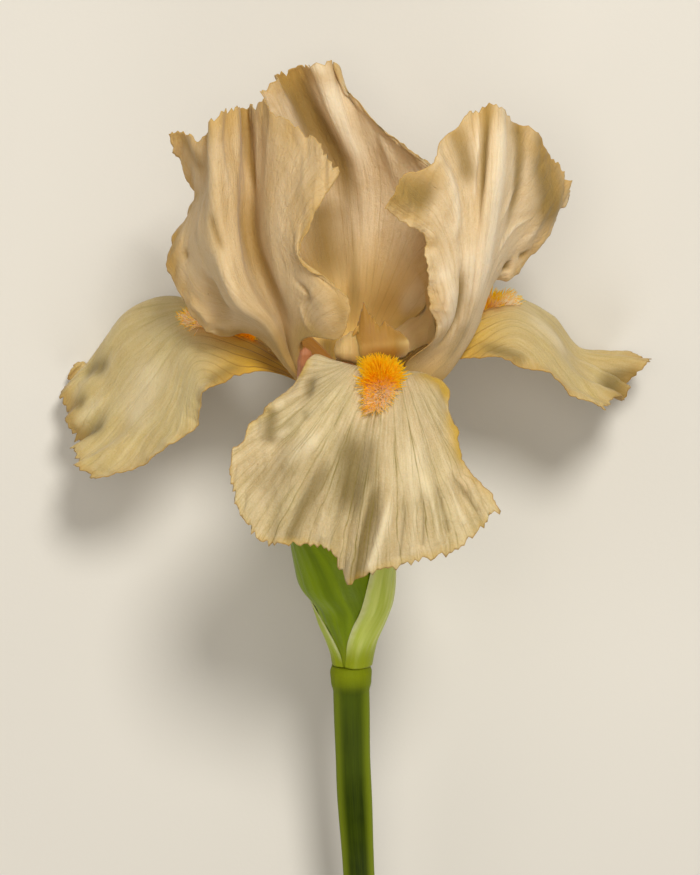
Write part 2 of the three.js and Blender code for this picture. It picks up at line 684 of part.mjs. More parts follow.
// The beards: on each fall's midrib a low core, and hairs that stand out of it.
function beardGeometry(grid, seed) {
  const random = randomFrom(seed);
  const normals = gridNormals(grid);
  const middle = PETAL_COLUMNS / 2;
  const frames = [];
  for (let i = BEARD_FIRST_ROW; i <= BEARD_LAST_ROW; i++) {
    const t = (i - BEARD_FIRST_ROW) / (BEARD_LAST_ROW - BEARD_FIRST_ROW);
    const normal = normals[i][middle];
    const across = grid[i][middle - 1].clone().sub(grid[i][middle + 1]).normalize();
    const size = profile(BEARD_TAPER, t);
    const lift = PETAL_THICKNESS / 2 + GAP + BEARD_HEIGHT * size;
    const centre = grid[i][middle].clone().addScaledVector(normal, lift);
    frames.push({ centre, normal, across, size });
  }
  const centres = new THREE.CatmullRomCurve3(frames.map((frame) => frame.centre));
  const frameAt = (t) => {
    const place = t * (frames.length - 1);
    const i = Math.min(Math.floor(place), frames.length - 2);
    const [a, b, w] = [frames[i], frames[i + 1], place - i];
    return {
      centre: centres.getPoint(t),
      normal: a.normal.clone().lerp(b.normal, w).normalize(),
      across: a.across.clone().lerp(b.across, w).normalize(),
      size: lerp(a.size, b.size, w),
    };
  };
  const rim = (frame, angle) =>
    frame.centre
      .clone()
      .addScaledVector(frame.across, BEARD_HALF_WIDTH * frame.size * Math.sin(angle))
      .addScaledVector(frame.normal, BEARD_HEIGHT * frame.size * Math.cos(angle));
  const points = [];
  const index = [];
  const steps = frames.length - 1;
  for (let i = 0; i <= steps; i++) {
    for (let k = 0; k < BEARD_SIDES; k++) {
      points.push(rim(frames[i], (2 * Math.PI * k) / BEARD_SIDES));
    }
  }
  points.push(frames[0].centre, frames[steps].centre);
  closeRings(index, steps, BEARD_SIDES, points.length - 2);
  const pieces = [meshOf(points, index)];
  for (let k = 0; k < BEARD_HAIRS; k++) {
    const t = random();
    const angle = lerp(-1, 1, random()) * HAIR_FAN;
    const frame = frameAt(t);
    const along = centres.getTangent(t);
    const out = frame.normal.clone().multiplyScalar(Math.cos(angle));
    out.addScaledVector(frame.across, Math.sin(angle));
    out.addScaledVector(along, lerp(...HAIR_LEAN, random()));
    out.normalize();
    const root = frame.centre.clone().lerp(rim(frame, angle), HAIR_ROOT_DEPTH);
    const spread = HAIR_LENGTH_SPREAD * lerp(-1, 1, random());
    const length = profile(HAIR_LENGTH, t) * (1 + spread);
    pieces.push(hairGeometry(root, out, length));
  }
  return joined(pieces);
}

function hairGeometry(root, direction, length) {
  const cone = new THREE.ConeGeometry(HAIR_RADIUS, length, HAIR_SIDES);
  cone.translate(0, length / 2, 0);
  const turn = new THREE.Quaternion().setFromUnitVectors(v3(0, 1, 0), direction);
  cone.applyQuaternion(turn);
  return cone.translate(root.x, root.y, root.z);
}

FALL_SIDES.forEach((side, i) => {
  place("beard_" + side, beardGeometry(sheets["fall_" + side], BEARD_SEED + i), finishes.beard);
});

// The ovary and the tube above it, which carries the petals on its flat rim.
const tubePath = new THREE.CatmullRomCurve3(TUBE_PATH.map((p) => onAxis(...p)));
place(
  "perianth_tube",
  limbGeometry(
    tubePath,
    evenly(TUBE_RINGS),
    TUBE_SIDES,
    (t, angle) => profile(TUBE_RADII, t) * (1 + profile(TUBE_LOBES, t) * Math.cos(3 * angle)),
    AHEAD,
  ),
  finishes.tube,
);

// The style: a column from the middle of the tube, and three arms over the falls.
function styleArm(azimuth) {
  const toBloom = (p) => turned(onAxis(...p), azimuth);
  const strap = ARM_VEINS.map((vein) => vein.map(toBloom));
  const lip = LIP_VEINS.map((vein) => vein.map(toBloom));
  const flat = () => 0;
  return [
    bladeGeometry(sheetGrid(strap, ARM_ROWS, ARM_COLUMNS, 1, 0, flat), STYLE_THICKNESS),
    bladeGeometry(sheetGrid(lip, LIP_ROWS, LIP_COLUMNS, 1, 0, flat), STYLE_THICKNESS),
  ];
}

const columnPath = new THREE.CatmullRomCurve3([
  onAxis(0, 0, COLUMN_FOOT),
  onAxis(0, 0, COLUMN_TOP / 2),
  onAxis(0, 0, COLUMN_TOP),
]);
const column = limbGeometry(
  columnPath,
  evenly(COLUMN_RINGS),
  COLUMN_SIDES,
  (t) => profile(COLUMN_RADII, t),
  AHEAD,
);
place("style", joined([column, ...FALL_AZIMUTHS.flatMap(styleArm)]), finishes.style);

// A stamen under each arm of the style: a filament, and the anther at its end.
FALL_SIDES.forEach((side, i) => {
  const path = new THREE.CatmullRomCurve3(
    STAMEN_PATH.map((p) => turned(onAxis(...p), FALL_AZIMUTHS[i])),
  );
  const radius = (t) => profile(STAMEN_RADII, t);
  const stamen = limbGeometry(path, evenly(STAMEN_RINGS), STAMEN_SIDES, radius, AHEAD);
  place("stamen_" + side, stamen, finishes.stamen);
});

// The second bud, still rolled, beside the ovary in the same bracts.
const budPath = new THREE.CatmullRomCurve3(BUD_PATH.map((p) => onAxis(...p)));
place(
  "bud",
  limbGeometry(budPath, BUD_SECTIONS, BUD_SIDES, (t) => profile(BUD_RADII, t), AHEAD),
  finishes.bud,
);

// The bracts of the spathe.
for (const [name, stations] of Object.entries(BRACTS)) {
  const veins = evenly(BRACT_VEINS - 1).map((side) =>
    stations.map(([height, shift, radius, from, to]) => {
      const azimuth = rad(lerp(from, to, side));
      return onAxis(shift + radius * Math.sin(azimuth), radius * Math.cos(azimuth), height);
    }),
  );
  const grid = sheetGrid(veins, BRACT_ROWS, BRACT_COLUMNS, 1, 0, () => 0);
  place(name, bladeGeometry(grid, BRACT_THICKNESS), finishes.bract);
}

// The stem, with the swollen ring at its top.
const stemPath = new THREE.CatmullRomCurve3(STEM_PATH.map((p) => v3(...p)));
place(
  "stem",
  limbGeometry(stemPath, STEM_SECTIONS, STEM_SIDES, (t) => profile(STEM_RADII, t), AHEAD),
  finishes.green,
);

// The flower is turned to lie on the surface, and moved so that its box stands on the origin.
flower.name = "flower";
flower.rotation.set(rad(REST_PITCH), rad(REST_ROLL), 0);
flower.position.set(...REST_SHIFT);
const part = new THREE.Group();
part.add(flower);
export default part;
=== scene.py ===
"""A cut bearded iris, lying front up on a pale floor: the finished surfaces of its petals, beards,
style, bud, bracts and stem.

Shapes are worked out in millimetres in the bloom's own frame (x to the right, y up the flower, z to
the viewer, the petals' common foot at the origin). to_row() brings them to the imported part's frame.
Tables are typed as text, with a space between numbers and a comma between rows.
"""
import math

import bpy
import numpy as np
from mathutils import Matrix, Vector


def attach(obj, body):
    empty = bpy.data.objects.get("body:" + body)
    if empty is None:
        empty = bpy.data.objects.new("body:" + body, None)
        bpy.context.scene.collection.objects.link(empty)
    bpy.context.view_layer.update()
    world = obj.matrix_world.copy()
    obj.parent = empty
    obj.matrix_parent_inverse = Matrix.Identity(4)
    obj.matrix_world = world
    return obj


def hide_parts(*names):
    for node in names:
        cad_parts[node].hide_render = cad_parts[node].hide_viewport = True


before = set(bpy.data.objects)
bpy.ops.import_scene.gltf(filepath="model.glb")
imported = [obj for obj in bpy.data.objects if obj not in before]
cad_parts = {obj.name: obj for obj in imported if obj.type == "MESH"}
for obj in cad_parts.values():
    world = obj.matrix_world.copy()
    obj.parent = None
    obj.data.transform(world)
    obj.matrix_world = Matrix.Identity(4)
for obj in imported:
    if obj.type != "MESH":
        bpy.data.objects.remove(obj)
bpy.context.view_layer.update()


def rows(text):
    """A table's rows of numbers."""
    return [[float(number) for number in row.split()] for row in text.split(",")]


def tables(text):
    """Several tables, one on each line."""
    return [rows(line) for line in text.strip().splitlines()]


# The bloom's frame, and how the flower lies: the same values as the solids have.
MM = 0.001
AXIS_TILT = math.radians(14)
REST_PITCH = math.radians(-4.2)
REST_ROLL = math.radians(-0.714)
REST_SHIFT = (-0.83, 86.40, 49.27)

# The tube's rim, the petals' feet on it, how their grids are spaced and how their ruffles run.
RIM_RADIUS = 6.6
FOOT_RADIUS = 5.4
FOOT_SPREAD = 25
FOOT_HEIGHT = 0.55
FOOT_SUNK = 1.1
COLUMN_BIAS = 0.35
ROW_POWER = 0.85
SIDE_WAVES = 4
SIDE_RUFFLE_START = 0.4
SIDE_RUFFLE_FULL = 0.6
TIP_RUFFLE_REACH = 1.6

FALL_SIDES = ["front", "left", "right"]
FALL_AZIMUTHS = [12, -112, 120]

# The camera, in the bloom's frame: where the photograph's middle falls, and how far away it is.
VIEW_CENTRE = (-0.5, -4.4)
VIEW_DISTANCE = 750
FOCAL_PIXELS = 3000
IMAGE_HEIGHT = 875
SENSOR = 36

# Petals. Each is a sheet carried by guide veins, which follow each other round the flower. A vein is
# a line of text with the points that it passes after the foot. A fold is its place across, half
# width, height and where it starts along the petal. The ruffle that waves the margins is its height,
# waves across the end, depth there, phase, and depth at the sides.
PETALS = {
    "standard_left": {
        "azimuth": -52,
        "veins": """
        -16 12.5 12.5, -24 21 13.5, -36.5 22.5 8, -45.5 38.5 6, -40 55 10, -44.5 68.5 24
        -15.8 13 13.5, -22.5 22 17, -33 28 14, -40.5 40.5 12, -36.5 55 18, -36 67.5 29
        -15.3 13.4 14.6, -20.5 22 21, -28 30 26, -32.5 42 27, -33 55 30, -33 72 34
        -14.8 13.8 14.4, -18.8 23 21, -25.5 32.5 25, -28 44.5 25, -27.5 57.5 27, -28 74.5 31
        -14.4 14.1 14.2, -17.4 24 18, -22 34 20, -25 46 20, -25 59.5 21, -25 75.5 23
        -14 14.5 15.4, -15 24 22.5, -17 34 28, -19.5 46.5 29, -20 60 30, -21 75.5 31
        -13.3 16 17.6, -10.5 24.5 29, -10.8 32.5 34, -15 42.5 34, -14.5 54.5 36, -11.5 67.5 40
        -12.6 19.5 21.5, -2.5 20 34.5, -1 28 38.5, -12 38.5 38, -9 48 41, -3 58 44
        """,
        "folds": "0.3 0.05 -0.9 0.3, 0.5 0.05 0.9 0.2, 0.72 0.05 -0.7 0.3",
        "ruffle": (0.7, 6, 0.16, 0.5, 0.22),
    },
    "standard_right": {
        "azimuth": 68,
        "veins": """
        16.5 12 13, 20.5 20 22, 18.5 29 29, 17.5 38.5 33, 14 45 37, 8 49.5 41
        17.5 12 12, 22.5 21 21, 23.5 29 28, 22 40 31, 19 48.5 36, 12 57 41
        18.5 12 11, 24.5 21 17, 26.5 30.5 24, 26.5 42 29, 25 53.5 34, 20.5 65 38
        19.5 11.5 10.5, 26 20 15, 28.5 30.5 22, 29.5 43 28, 29.5 56 31, 28 72.5 33
        20.5 11 9.5, 27 19.5 13.5, 30.5 30.5 21, 32.5 44 28, 34 57.5 32, 34 75 33
        21 10.5 8.5, 28.5 19.5 11, 32.5 31.5 17, 36 43 21, 40 58 24, 43 70.5 24
        21.5 10 7.5, 29.5 20 8, 34.5 33 10, 39.5 41 11, 47.5 51 14, 51.5 61.5 14
        22 9.5 6.5, 30 21 5, 35 33.5 3, 41 36.5 4, 48 44.5 6, 54.5 55 7
        """,
        "folds": "0.3 0.05 0.8 0.3, 0.52 0.04 -0.9 0.2, 0.75 0.06 0.7 0.4",
        "ruffle": (0.8, 6, 0.16, 1.7, 0.2),
    },
    "standard_back": {
        "azimuth": 188,
        "veins": """
        5 19 -8, 16 30 -5, 21 41 0, 23 51.5 4, 22.5 59 5, 19.5 63.5 4
        3.5 19.5 -10, 11 33 -11.5, 13.5 45.5 -9, 13 58 -6, 8.5 69 -3, 0 80.5 0
        2 20 -11, 5.5 34.5 -15, 6 49 -14, 4.5 63.5 -10, -0.5 76 -4, -4.5 89 0
        0 20 -11.5, 1 34.5 -14.5, 1 49.5 -14, -1.5 64.5 -9, -6 77.5 -3, -10.5 88 2
        -2 20 -11, -3 34.5 -15, -4 50 -15, -6.5 65 -12, -11.5 77.5 -7, -15.5 87.5 -2
        -3.5 19.5 -10, -8 33.5 -11, -10.5 48.5 -9, -12.5 63.5 -5, -16.5 76.5 -1, -19.5 84.5 3
        -5 19 -8, -12.5 33 -6, -17 47.5 -1, -19 61 2, -21 72.5 4, -22 81 6
        """,
        "folds": "0.5 0.05 -0.9 0.15, 0.3 0.06 0.6 0.4, 0.72 0.06 0.6 0.4",
        "ruffle": (0.5, 5, 0.14, 0, 0.2),
    },
    "fall_front": {
        "azimuth": 12,
        "veins": """
        -3.5 7 13.5, -5.5 11.5 22, -8.8 15.3 30.5, -12.8 11 33.5, -19 3.5 35.5, -24.5 -1 36, -29.2 -12 38
        -2.6 6.6 13.8, -4 11 22.6, -6 14.6 32, -9.5 10.5 35.5, -15.5 1 38, -21 -9 38.5, -26.3 -22.5 38
        -1.4 6.3 14.1, -2.3 10.6 23.1, -3 13.6 33, -6 9.3 37.2, -11.5 -1.5 40, -16.5 -14 40, -20.3 -30 38
        -0.2 6 14.3, -0.6 10.3 23.5, 0 12.8 33.3, -2.2 8 38.5, -6.5 -3 41.2, -10 -16 41, -12 -29.5 39.5
        1 5.8 14.4, 1.2 10 23.8, 3 12.2 33.4, 1.8 7 39.4, -1.5 -4.5 42.4, -4 -18 41.5, -5.2 -31 38.5
        2.2 5.6 14.5, 3.2 9.6 24, 6 11.6 33, 6 6.5 39.6, 3.2 -5 42.6, 1 -20 41, -1.2 -38.7 36
        3.4 5.7 14.4, 5.2 9.6 23.8, 9 11.2 32.2, 10.2 6.8 38.8, 8.5 -4.5 42.8, 7.5 -19.5 43, 5 -36 39.5
        4.6 5.9 14.2, 7.2 9.9 23.2, 12 11 31, 14.2 7.5 36.8, 14.2 -3.5 41, 15.3 -17.5 42.5, 14.5 -34 40
        5.8 6.3 13.9, 9.2 10.4 22.2, 15.2 11 29.2, 18.5 8 34, 19.8 -2.5 37.5, 22.5 -14.5 40.5, 25.5 -30 39.5
        7 6.9 13.4, 11 11 21, 18.2 10.6 27.2, 22.3 6.3 30.8, 24.3 -2.8 33.2, 27.2 -11 37.5, 35 -21.5 41.5
        """,
        "folds": """
            0.13 0.05 -1.3 0.3, 0.3 0.04 0.8 0.5, 0.53 0.035 -1.7 0.45, 0.6 0.035 1.3 0.5,
            0.72 0.03 -0.8 0.5, 0.86 0.04 -0.7 0.4
        """,
        "ruffle": (0.8, 7, 0.14, 2, 0.14),
    },
    "fall_left": {
        "azimuth": -112,
        "veins": """
        -11.5 13 -9, -20.5 19.5 -17.5, -31.5 24.5 -26, -44.5 27.5 -36, -58 23 -45, -69 15 -47, -73 15 -46
        -12.5 12.5 -6.5, -22 20 -13, -33 26 -19, -46 31 -28, -59 26.5 -38, -69 15 -42, -76 9 -42
        -13 11.5 -4, -22.5 19.5 -8, -33 25 -12.5, -45.5 31.5 -20, -58 28 -29, -66.5 17.5 -35, -75.5 4 -35
        -13 10.5 -2.5, -22 18.5 -4.5, -32.5 24 -7.5, -43 25 -12, -54.5 17.5 -20, -64 6.5 -26, -73 -3 -29
        -12.5 9.5 -1.5, -22 16.5 0, -31.5 20 -2.5, -40.5 19 -6, -49 11 -12, -59.5 1 -19, -72 -7.5 -24
        -12 8.5 0.5, -21.5 14 3.5, -30 15.5 3.5, -38 12.5 1, -44.5 4.5 -4, -55 -4.5 -11, -70 -12 -18
        -11 8 2, -21 12 6, -29 10.5 8, -36.5 6 7, -40.5 -2.5 3, -51 -10.5 -4, -65 -15 -12
        """,
        "folds": "0.35 0.06 0.7 0.5, 0.7 0.06 -0.6 0.5",
        "ruffle": (1.2, 5, 0.14, 0.3, 0.14),
    },
    "fall_right": {
        "azimuth": 120,
        "veins": """
        11 8 0, 18.5 11.5 3, 29 15.5 4, 39 14.5 3, 47 12 1, 54.5 6.5 -2, 63 2 -6
        11.5 9 -1.5, 19.5 14.5 0, 30 19.5 0.5, 40.5 19.5 -2, 49.5 16.5 -5, 57 9.5 -9, 66.5 5.5 -13
        12 10 -3, 20.5 18 -3.5, 30.5 24.5 -4.5, 41 25.5 -9, 50.5 21.5 -13, 58.5 13 -18, 71 7.5 -21
        12 11 -4.5, 21 20.5 -7, 30.5 27.5 -11, 41 30 -17, 50.5 25 -23, 58.5 16 -27, 71.5 10 -28
        12 12 -6.5, 21 22 -11, 30.5 29 -17, 42 31.5 -25, 52 27 -31, 60 18 -35, 78 15.5 -34
        11.5 13 -9, 20 22 -16, 29.5 28.5 -24, 41 29.5 -33, 51 25 -40, 60.5 18.5 -42, 73 17 -42
        10 13 -11.5, 18 20 -21, 27.5 24.5 -30, 38.5 24 -40, 48.5 20 -47, 59 15.5 -48, 68 15 -47
        """,
        "folds": "0.3 0.06 -0.6 0.5, 0.65 0.06 0.7 0.5",
        "ruffle": (1.2, 5, 0.16, 1, 0.14),
    },
}

# The round limbs: the points that their middle lines pass, across, forward of and up the flower's
# axis (the stem's in the bloom's frame), and how thick they are along them.
TUBE_PATH = rows("0.9 -0.9 -64, 0.6 -0.6 -53, 0.1 -0.1 -42, 0 0 -31, 0 0 -20, 0 0 -10, 0 0 0")
TUBE_RADII = rows(f"0 1.7, 0.16 1.9, 0.32 4.2, 0.5 4.5, 0.66 3.1, 0.85 3.6, 1 {RIM_RADIUS}")
TUBE_LOBES = rows("0 0, 0.3 0.07, 0.55 0.07, 0.7 0.03, 0.9 0.02, 1 0")
COLUMN_RADII = rows("0 2.1, 0.6 2.2, 1 2.7")
STAMEN_PATH = rows("0 4 0.5, 0 5.6 4.5, 0 8.6 9, 0 12.2 13, 0 16 15.8, 0 19.5 17.6")
STAMEN_RADII = rows("0 0.65, 0.5 0.6, 0.6 1.15, 0.9 1.05, 1 0.35")
BUD_PATH = rows("""
    -1.3 1.2 -63.8, -3 2.8 -52, -6 4.7 -38, -7.6 5.7 -22, -9.4 10.4 -7, -10.6 15.8 8, -11.4 21.5 23
""")
BUD_RADII = rows("0 0.9, 0.16 1.2, 0.4 2.4, 0.7 2.5, 0.9 2.5, 0.96 2.1, 0.988 1.4, 1 0.4")
STEM_PATH = rows("""
    -0.3 -62.4 -15.6, 0.35 -90 -22.4, 1.75 -117.7 -29.3, 3.4 -155 -38.6, 4.9 -200 -49.8, 5.6 -257 -64
""")
STEM_RADII = rows("0 4.9, 0.012 5.35, 0.03 5.2, 0.05 4.65, 0.2 4.5, 0.4 4.1, 1 4.4")

# The bracts, at heights up the axis: height, shift to the side, radius, and the azimuths between
# which the leaf lies.
BRACTS = {
    "bract_inner": """
        -63.9 0 3.6 -178 80, -60.5 0 4.2 -178 80, -57 -0.2 5.2 -178 80, -52 -0.3 7.4 -178 80,
        -48 -0.4 8.8 -178 78, -43 -2 11 -178 74, -38 -2.7 11.6 -178 66, -31 -3.2 12.2 -176 44,
        -24 -3.2 13.1 -170 -10, -17 -3 12.6 -158 -74, -8 -2.4 10.8 -128 -96
    """,
    "bract_left": """
        -63.9 0 5 -184 -32, -61 0 5.5 -184 -38, -57 -0.2 6.7 -184 -48, -53 -0.3 8.4 -184 -56,
        -48 -0.4 10.4 -183 -86, -43 -1.8 12.8 -180 -112, -38 -2.5 13.3 -174 -130,
        -32 -2.8 13.7 -160 -146
    """,
    "bract_right": """
        -63.9 0 5 -25 171, -60 0 5.7 -18 171, -57 -0.2 6.7 -10 171, -52 -0.3 8.9 3 170,
        -47.5 -0.5 10.7 15 168, -43.5 -1.2 12 23 165, -38 -2 13 32 160, -31 -2.2 13.4 44 151,
        -22 -2 12.6 60 138, -12 -1.2 10.6 88 110
    """,
}

# The guide veins of an arm of the style, one on each line.
ARM_VEINS = """
    -1.6 0.8 7.4, -3.4 5.5 12, -5.4 11 16, -7.8 16.5 19, -9.2 19.6 20.8, -8.8 20.8 22.8
    -1.1 0.6 8, -2.5 5.2 13, -4 10.8 17.6, -5.8 16.6 21.2, -6.8 20.3 23.6, -6.2 21.4 26.2
    -0.6 0.5 8.3, -1.3 5 13.6, -2 10.6 18.6, -2.8 16.6 22.4, -3 20.4 26, -1.8 20.6 32.5
    0 0.5 8.5, 0 5 13.9, 0 10.5 19, 0 16.6 22.8, 0.2 20.6 25.8, 1.4 21.6 28.4
    0.6 0.5 8.3, 1.3 5 13.6, 2 10.6 18.6, 2.8 16.6 22.4, 3.2 20.5 25.6, 4.6 21.4 30
    1.1 0.6 8, 2.5 5.2 13, 4 10.8 17.6, 5.8 16.6 21.2, 6.8 20.3 23.6, 6.6 21.6 25.8
    1.6 0.8 7.4, 3.4 5.5 12, 5.4 11 16, 7.8 16.5 19, 9.2 19.6 20.8, 9 20.8 22.6
"""


# Numbers and curves.


def smooth(value, low, high):
    """0 at low, 1 at high, smooth between them."""
    t = np.clip((value - low) / (high - low), 0, 1)
    return t * t * (3 - 2 * t)


def bell(gap, half_width):
    """1 where the gap is 0, less away from there."""
    return np.exp(-((gap / half_width) ** 2))


def profile(pairs, t):
    """A smooth value between [place, value] pairs."""
    places, values = np.array(pairs).T
    k = np.clip(np.searchsorted(places, t), 1, len(places) - 1)
    return values[k - 1] + (values[k] - values[k - 1]) * smooth(t, places[k - 1], places[k])


def ripples(seed, count, *waves):
    """Smooth irregular waves, mostly from -1 to 1. Each of waves is (coordinate, cycles a unit)."""
    rng = np.random.default_rng(seed)
    total = 0
    for _ in range(count):
        angle = rng.uniform(0, 2 * math.pi)
        for coordinate, cycles in waves:
            turns = 2 * math.pi * cycles * rng.uniform(0.45, 1.35) * rng.choice([-1, 1])
            angle = angle + turns * coordinate
        total = total + np.sin(angle)
    return total / math.sqrt(count)


# How many slopes a cloud has, and how the columns and rows of its grid are spread over them.
SLOPES = 4096
COLUMN_STEP = 57
ROW_STEP = 131


def cloud(seed, x, y=0.0):
    """Smooth noise, mostly from -0.7 to 0.7, that changes about once a unit."""
    angles = np.random.default_rng(seed).uniform(0, 2 * math.pi, SLOPES)
    x, y = np.broadcast_arrays(np.asarray(x, float), np.asarray(y, float))
    column, row = np.floor(x).astype(int), np.floor(y).astype(int)
    part_x, part_y = x - column, y - row

    def corner(right, up):
        angle = angles[((column + right) * COLUMN_STEP + (row + up) * ROW_STEP) % SLOPES]
        return np.cos(angle) * (part_x - right) + np.sin(angle) * (part_y - up)

    share_x = smooth(part_x, 0, 1)
    low = corner(0, 0) + (corner(1, 0) - corner(0, 0)) * share_x
    high = corner(0, 1) + (corner(1, 1) - corner(0, 1)) * share_x
    return low + (high - low) * smooth(part_y, 0, 1)


def unit(vectors):
    return vectors / np.maximum(np.linalg.norm(vectors, axis=-1, keepdims=True), 1e-9)


def spline(points, places):
    """Places 0 to 1 on the centripetal Catmull-Rom curve through points, curves side by side after
    the first axis."""
    points = np.asarray(points, float)
    last = len(points) - 1
    before = 2 * points[0] - points[1]
    after = 2 * points[last] - points[last - 1]
    padded = np.concatenate([before[None], points, after[None]])
    place = np.clip(places, 0, 1) * last
    k = np.minimum(place.astype(int), last - 1)
    w = (place - k).reshape([-1] + [1] * (points.ndim - 1))
    p0, p1, p2, p3 = (padded[k + step] for step in range(4))
    d0, d1, d2 = (
        np.sqrt(np.maximum(np.linalg.norm(b - a, axis=-1, keepdims=True), 1e-6))
        for a, b in ((p0, p1), (p1, p2), (p2, p3))
    )
    m1 = ((p1 - p0) / d0 - (p2 - p0) / (d0 + d1) + (p2 - p1) / d1) * d1
    m2 = ((p2 - p1) / d1 - (p3 - p1) / (d1 + d2) + (p3 - p2) / d2) * d1
    return p1 + w * (m1 + w * (3 * (p2 - p1) - 2 * m1 - m2 + w * (2 * (p1 - p2) + m1 + m2)))


def on_axis(across, forward, up):
    """A point given across, forward of and up the flower's axis, in the bloom's frame."""
    cosine, sine = math.cos(AXIS_TILT), math.sin(AXIS_TILT)
    return np.stack([across, up * cosine - forward * sine, up * sine + forward * cosine], -1)


def axis_points(points):
    return on_axis(*np.array(points).T)


def turned(points, degrees):
    """Points after a turn about the flower's axis."""
    axis = Vector((0, math.cos(AXIS_TILT), math.sin(AXIS_TILT)))
    turn = np.array(Matrix.Rotation(math.radians(degrees), 3, axis))
    return points @ turn.T


REST_TURN = np.array(Matrix.Rotation(REST_PITCH, 3, "X") @ Matrix.Rotation(REST_ROLL, 3, "Y"))


def to_row(points):
    """Points of the bloom's frame, in millimetres, in the part's frame, in metres."""
    return (points @ REST_TURN.T + np.array(REST_SHIFT)) * MM


# Meshes.

FLOOR_GAP = 0.02


def make_piece(name, points, faces, values, material, slot, *nodes):
    """A smooth piece of points in the bloom's frame. faces are index arrays, one for each number of
    corners, and values are numbers at the points that its material reads."""
    place = to_row(points.reshape(-1, 3))
    place[:, 2] = np.maximum(place[:, 2], FLOOR_GAP * MM)
    mesh = bpy.data.meshes.new(name)
    mesh.vertices.add(len(place))
    mesh.vertices.foreach_set("co", place.astype(np.float32).ravel())
    corners = np.concatenate([f.ravel() for f in faces])
    sizes = np.concatenate([np.full(len(f), f.shape[1]) for f in faces])
    mesh.loops.add(len(corners))
    mesh.loops.foreach_set("vertex_index", corners.astype(np.int32))
    mesh.polygons.add(len(sizes))
    starts = np.concatenate([[0], np.cumsum(sizes)[:-1]])
    mesh.polygons.foreach_set("loop_start", starts.astype(np.int32))
    mesh.update(calc_edges=True)
    for key, value in values.items():
        attribute = mesh.attributes.new(key, "FLOAT", "POINT")
        attribute.data.foreach_set("value", np.asarray(value, np.float32).ravel())
    mesh.shade_smooth()
    mesh.materials.append(material)
    piece = bpy.data.objects.new(name, mesh)
    bpy.context.scene.collection.objects.link(piece)
    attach(piece, "root")
    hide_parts(*nodes)


def grid_normals(grid):
    """The upper side of a sheet of points, laid row by row along it."""
    along = np.empty_like(grid)
    along[1:-1] = grid[2:] - grid[:-2]
    along[0] = grid[1] - grid[0]
    along[-1] = grid[-1] - grid[-2]
    across = np.empty_like(grid)
    across[:, 1:-1] = grid[:, 2:] - grid[:, :-2]
    across[:, 0] = grid[:, 1] - grid[:, 0]
    across[:, -1] = grid[:, -1] - grid[:, -2]
    return unit(np.cross(along, across))


def lifted(grid, lift):
    return grid + grid_normals(grid) * lift[..., None]


def blade(grid, thickness, values):
    """A thin closed blade about a grid of points: its points, faces and values, with each point's
    side."""
    lift = grid_normals(grid) * (thickness / 2)[..., None]
    at = np.arange(thickness.size).reshape(thickness.shape)
    a, b, c, d = (x.ravel() for x in (at[:-1, :-1], at[:-1, 1:], at[1:, 1:], at[1:, :-1]))
    rim = [
        (at[0, :-1], at[0, 1:]),
        (at[-1, 1:], at[-1, :-1]),
        (at[1:, 0], at[:-1, 0]),
        (at[:-1, -1], at[1:, -1]),
    ]
    first, second = np.concatenate([np.stack(edge, 1) for edge in rim]).T
    faces = [
        np.stack([a, d, c, b], 1),
        np.stack([a, b, c, d], 1) + at.size,
        np.stack([first, second, second + at.size, first + at.size], 1),
    ]
    values = {key: np.stack([value, value]) for key, value in values.items()}
    values["side"] = np.stack([np.ones(at.shape), -np.ones(at.shape)])
    return np.stack([grid + lift, grid - lift]), [np.concatenate(faces)], values


def steps_along(grid, axis):
    """Millimetres run along a grid's rows or columns, from its first point."""
    gaps = np.linalg.norm(np.diff(grid, axis=axis), axis=-1)
    start = np.zeros_like(np.take(gaps, [0], axis))
    return np.concatenate([start, np.cumsum(gaps, axis)], axis)


def margin_gap(grid):
    """Millimetres run along and across a sheet, and from its end and its nearest side."""
    length, width = steps_along(grid, 0), steps_along(grid, 1)
    return length, width, length[-1:] - length, np.minimum(width, width[:, -1:] - width)


def sheet(veins, row_count, columns, row_power=1, column_bias=0):
    """The grid of a sheet on guide veins, with u along it and v across it."""
    u = (np.arange(row_count + 1) / row_count) ** row_power
    t = np.arange(columns + 1) / columns
    v = t - column_bias * np.sin(2 * math.pi * t) / (2 * math.pi)
    along = spline(np.swapaxes(np.array(veins, float), 0, 1), u)
    grid = np.swapaxes(spline(np.swapaxes(along, 0, 1), v), 0, 1)
    return grid, *np.meshgrid(u, v, indexing="ij")


def ring_walls(at):
    """The faces between rings of points, numbered ring by ring, and the point after each one."""
    after = np.roll(at, -1, axis=-1)
    walls = np.stack([at[..., :-1, :], after[..., :-1, :], after[..., 1:, :], at[..., 1:, :]], -1)
    return walls.reshape(-1, 4), after


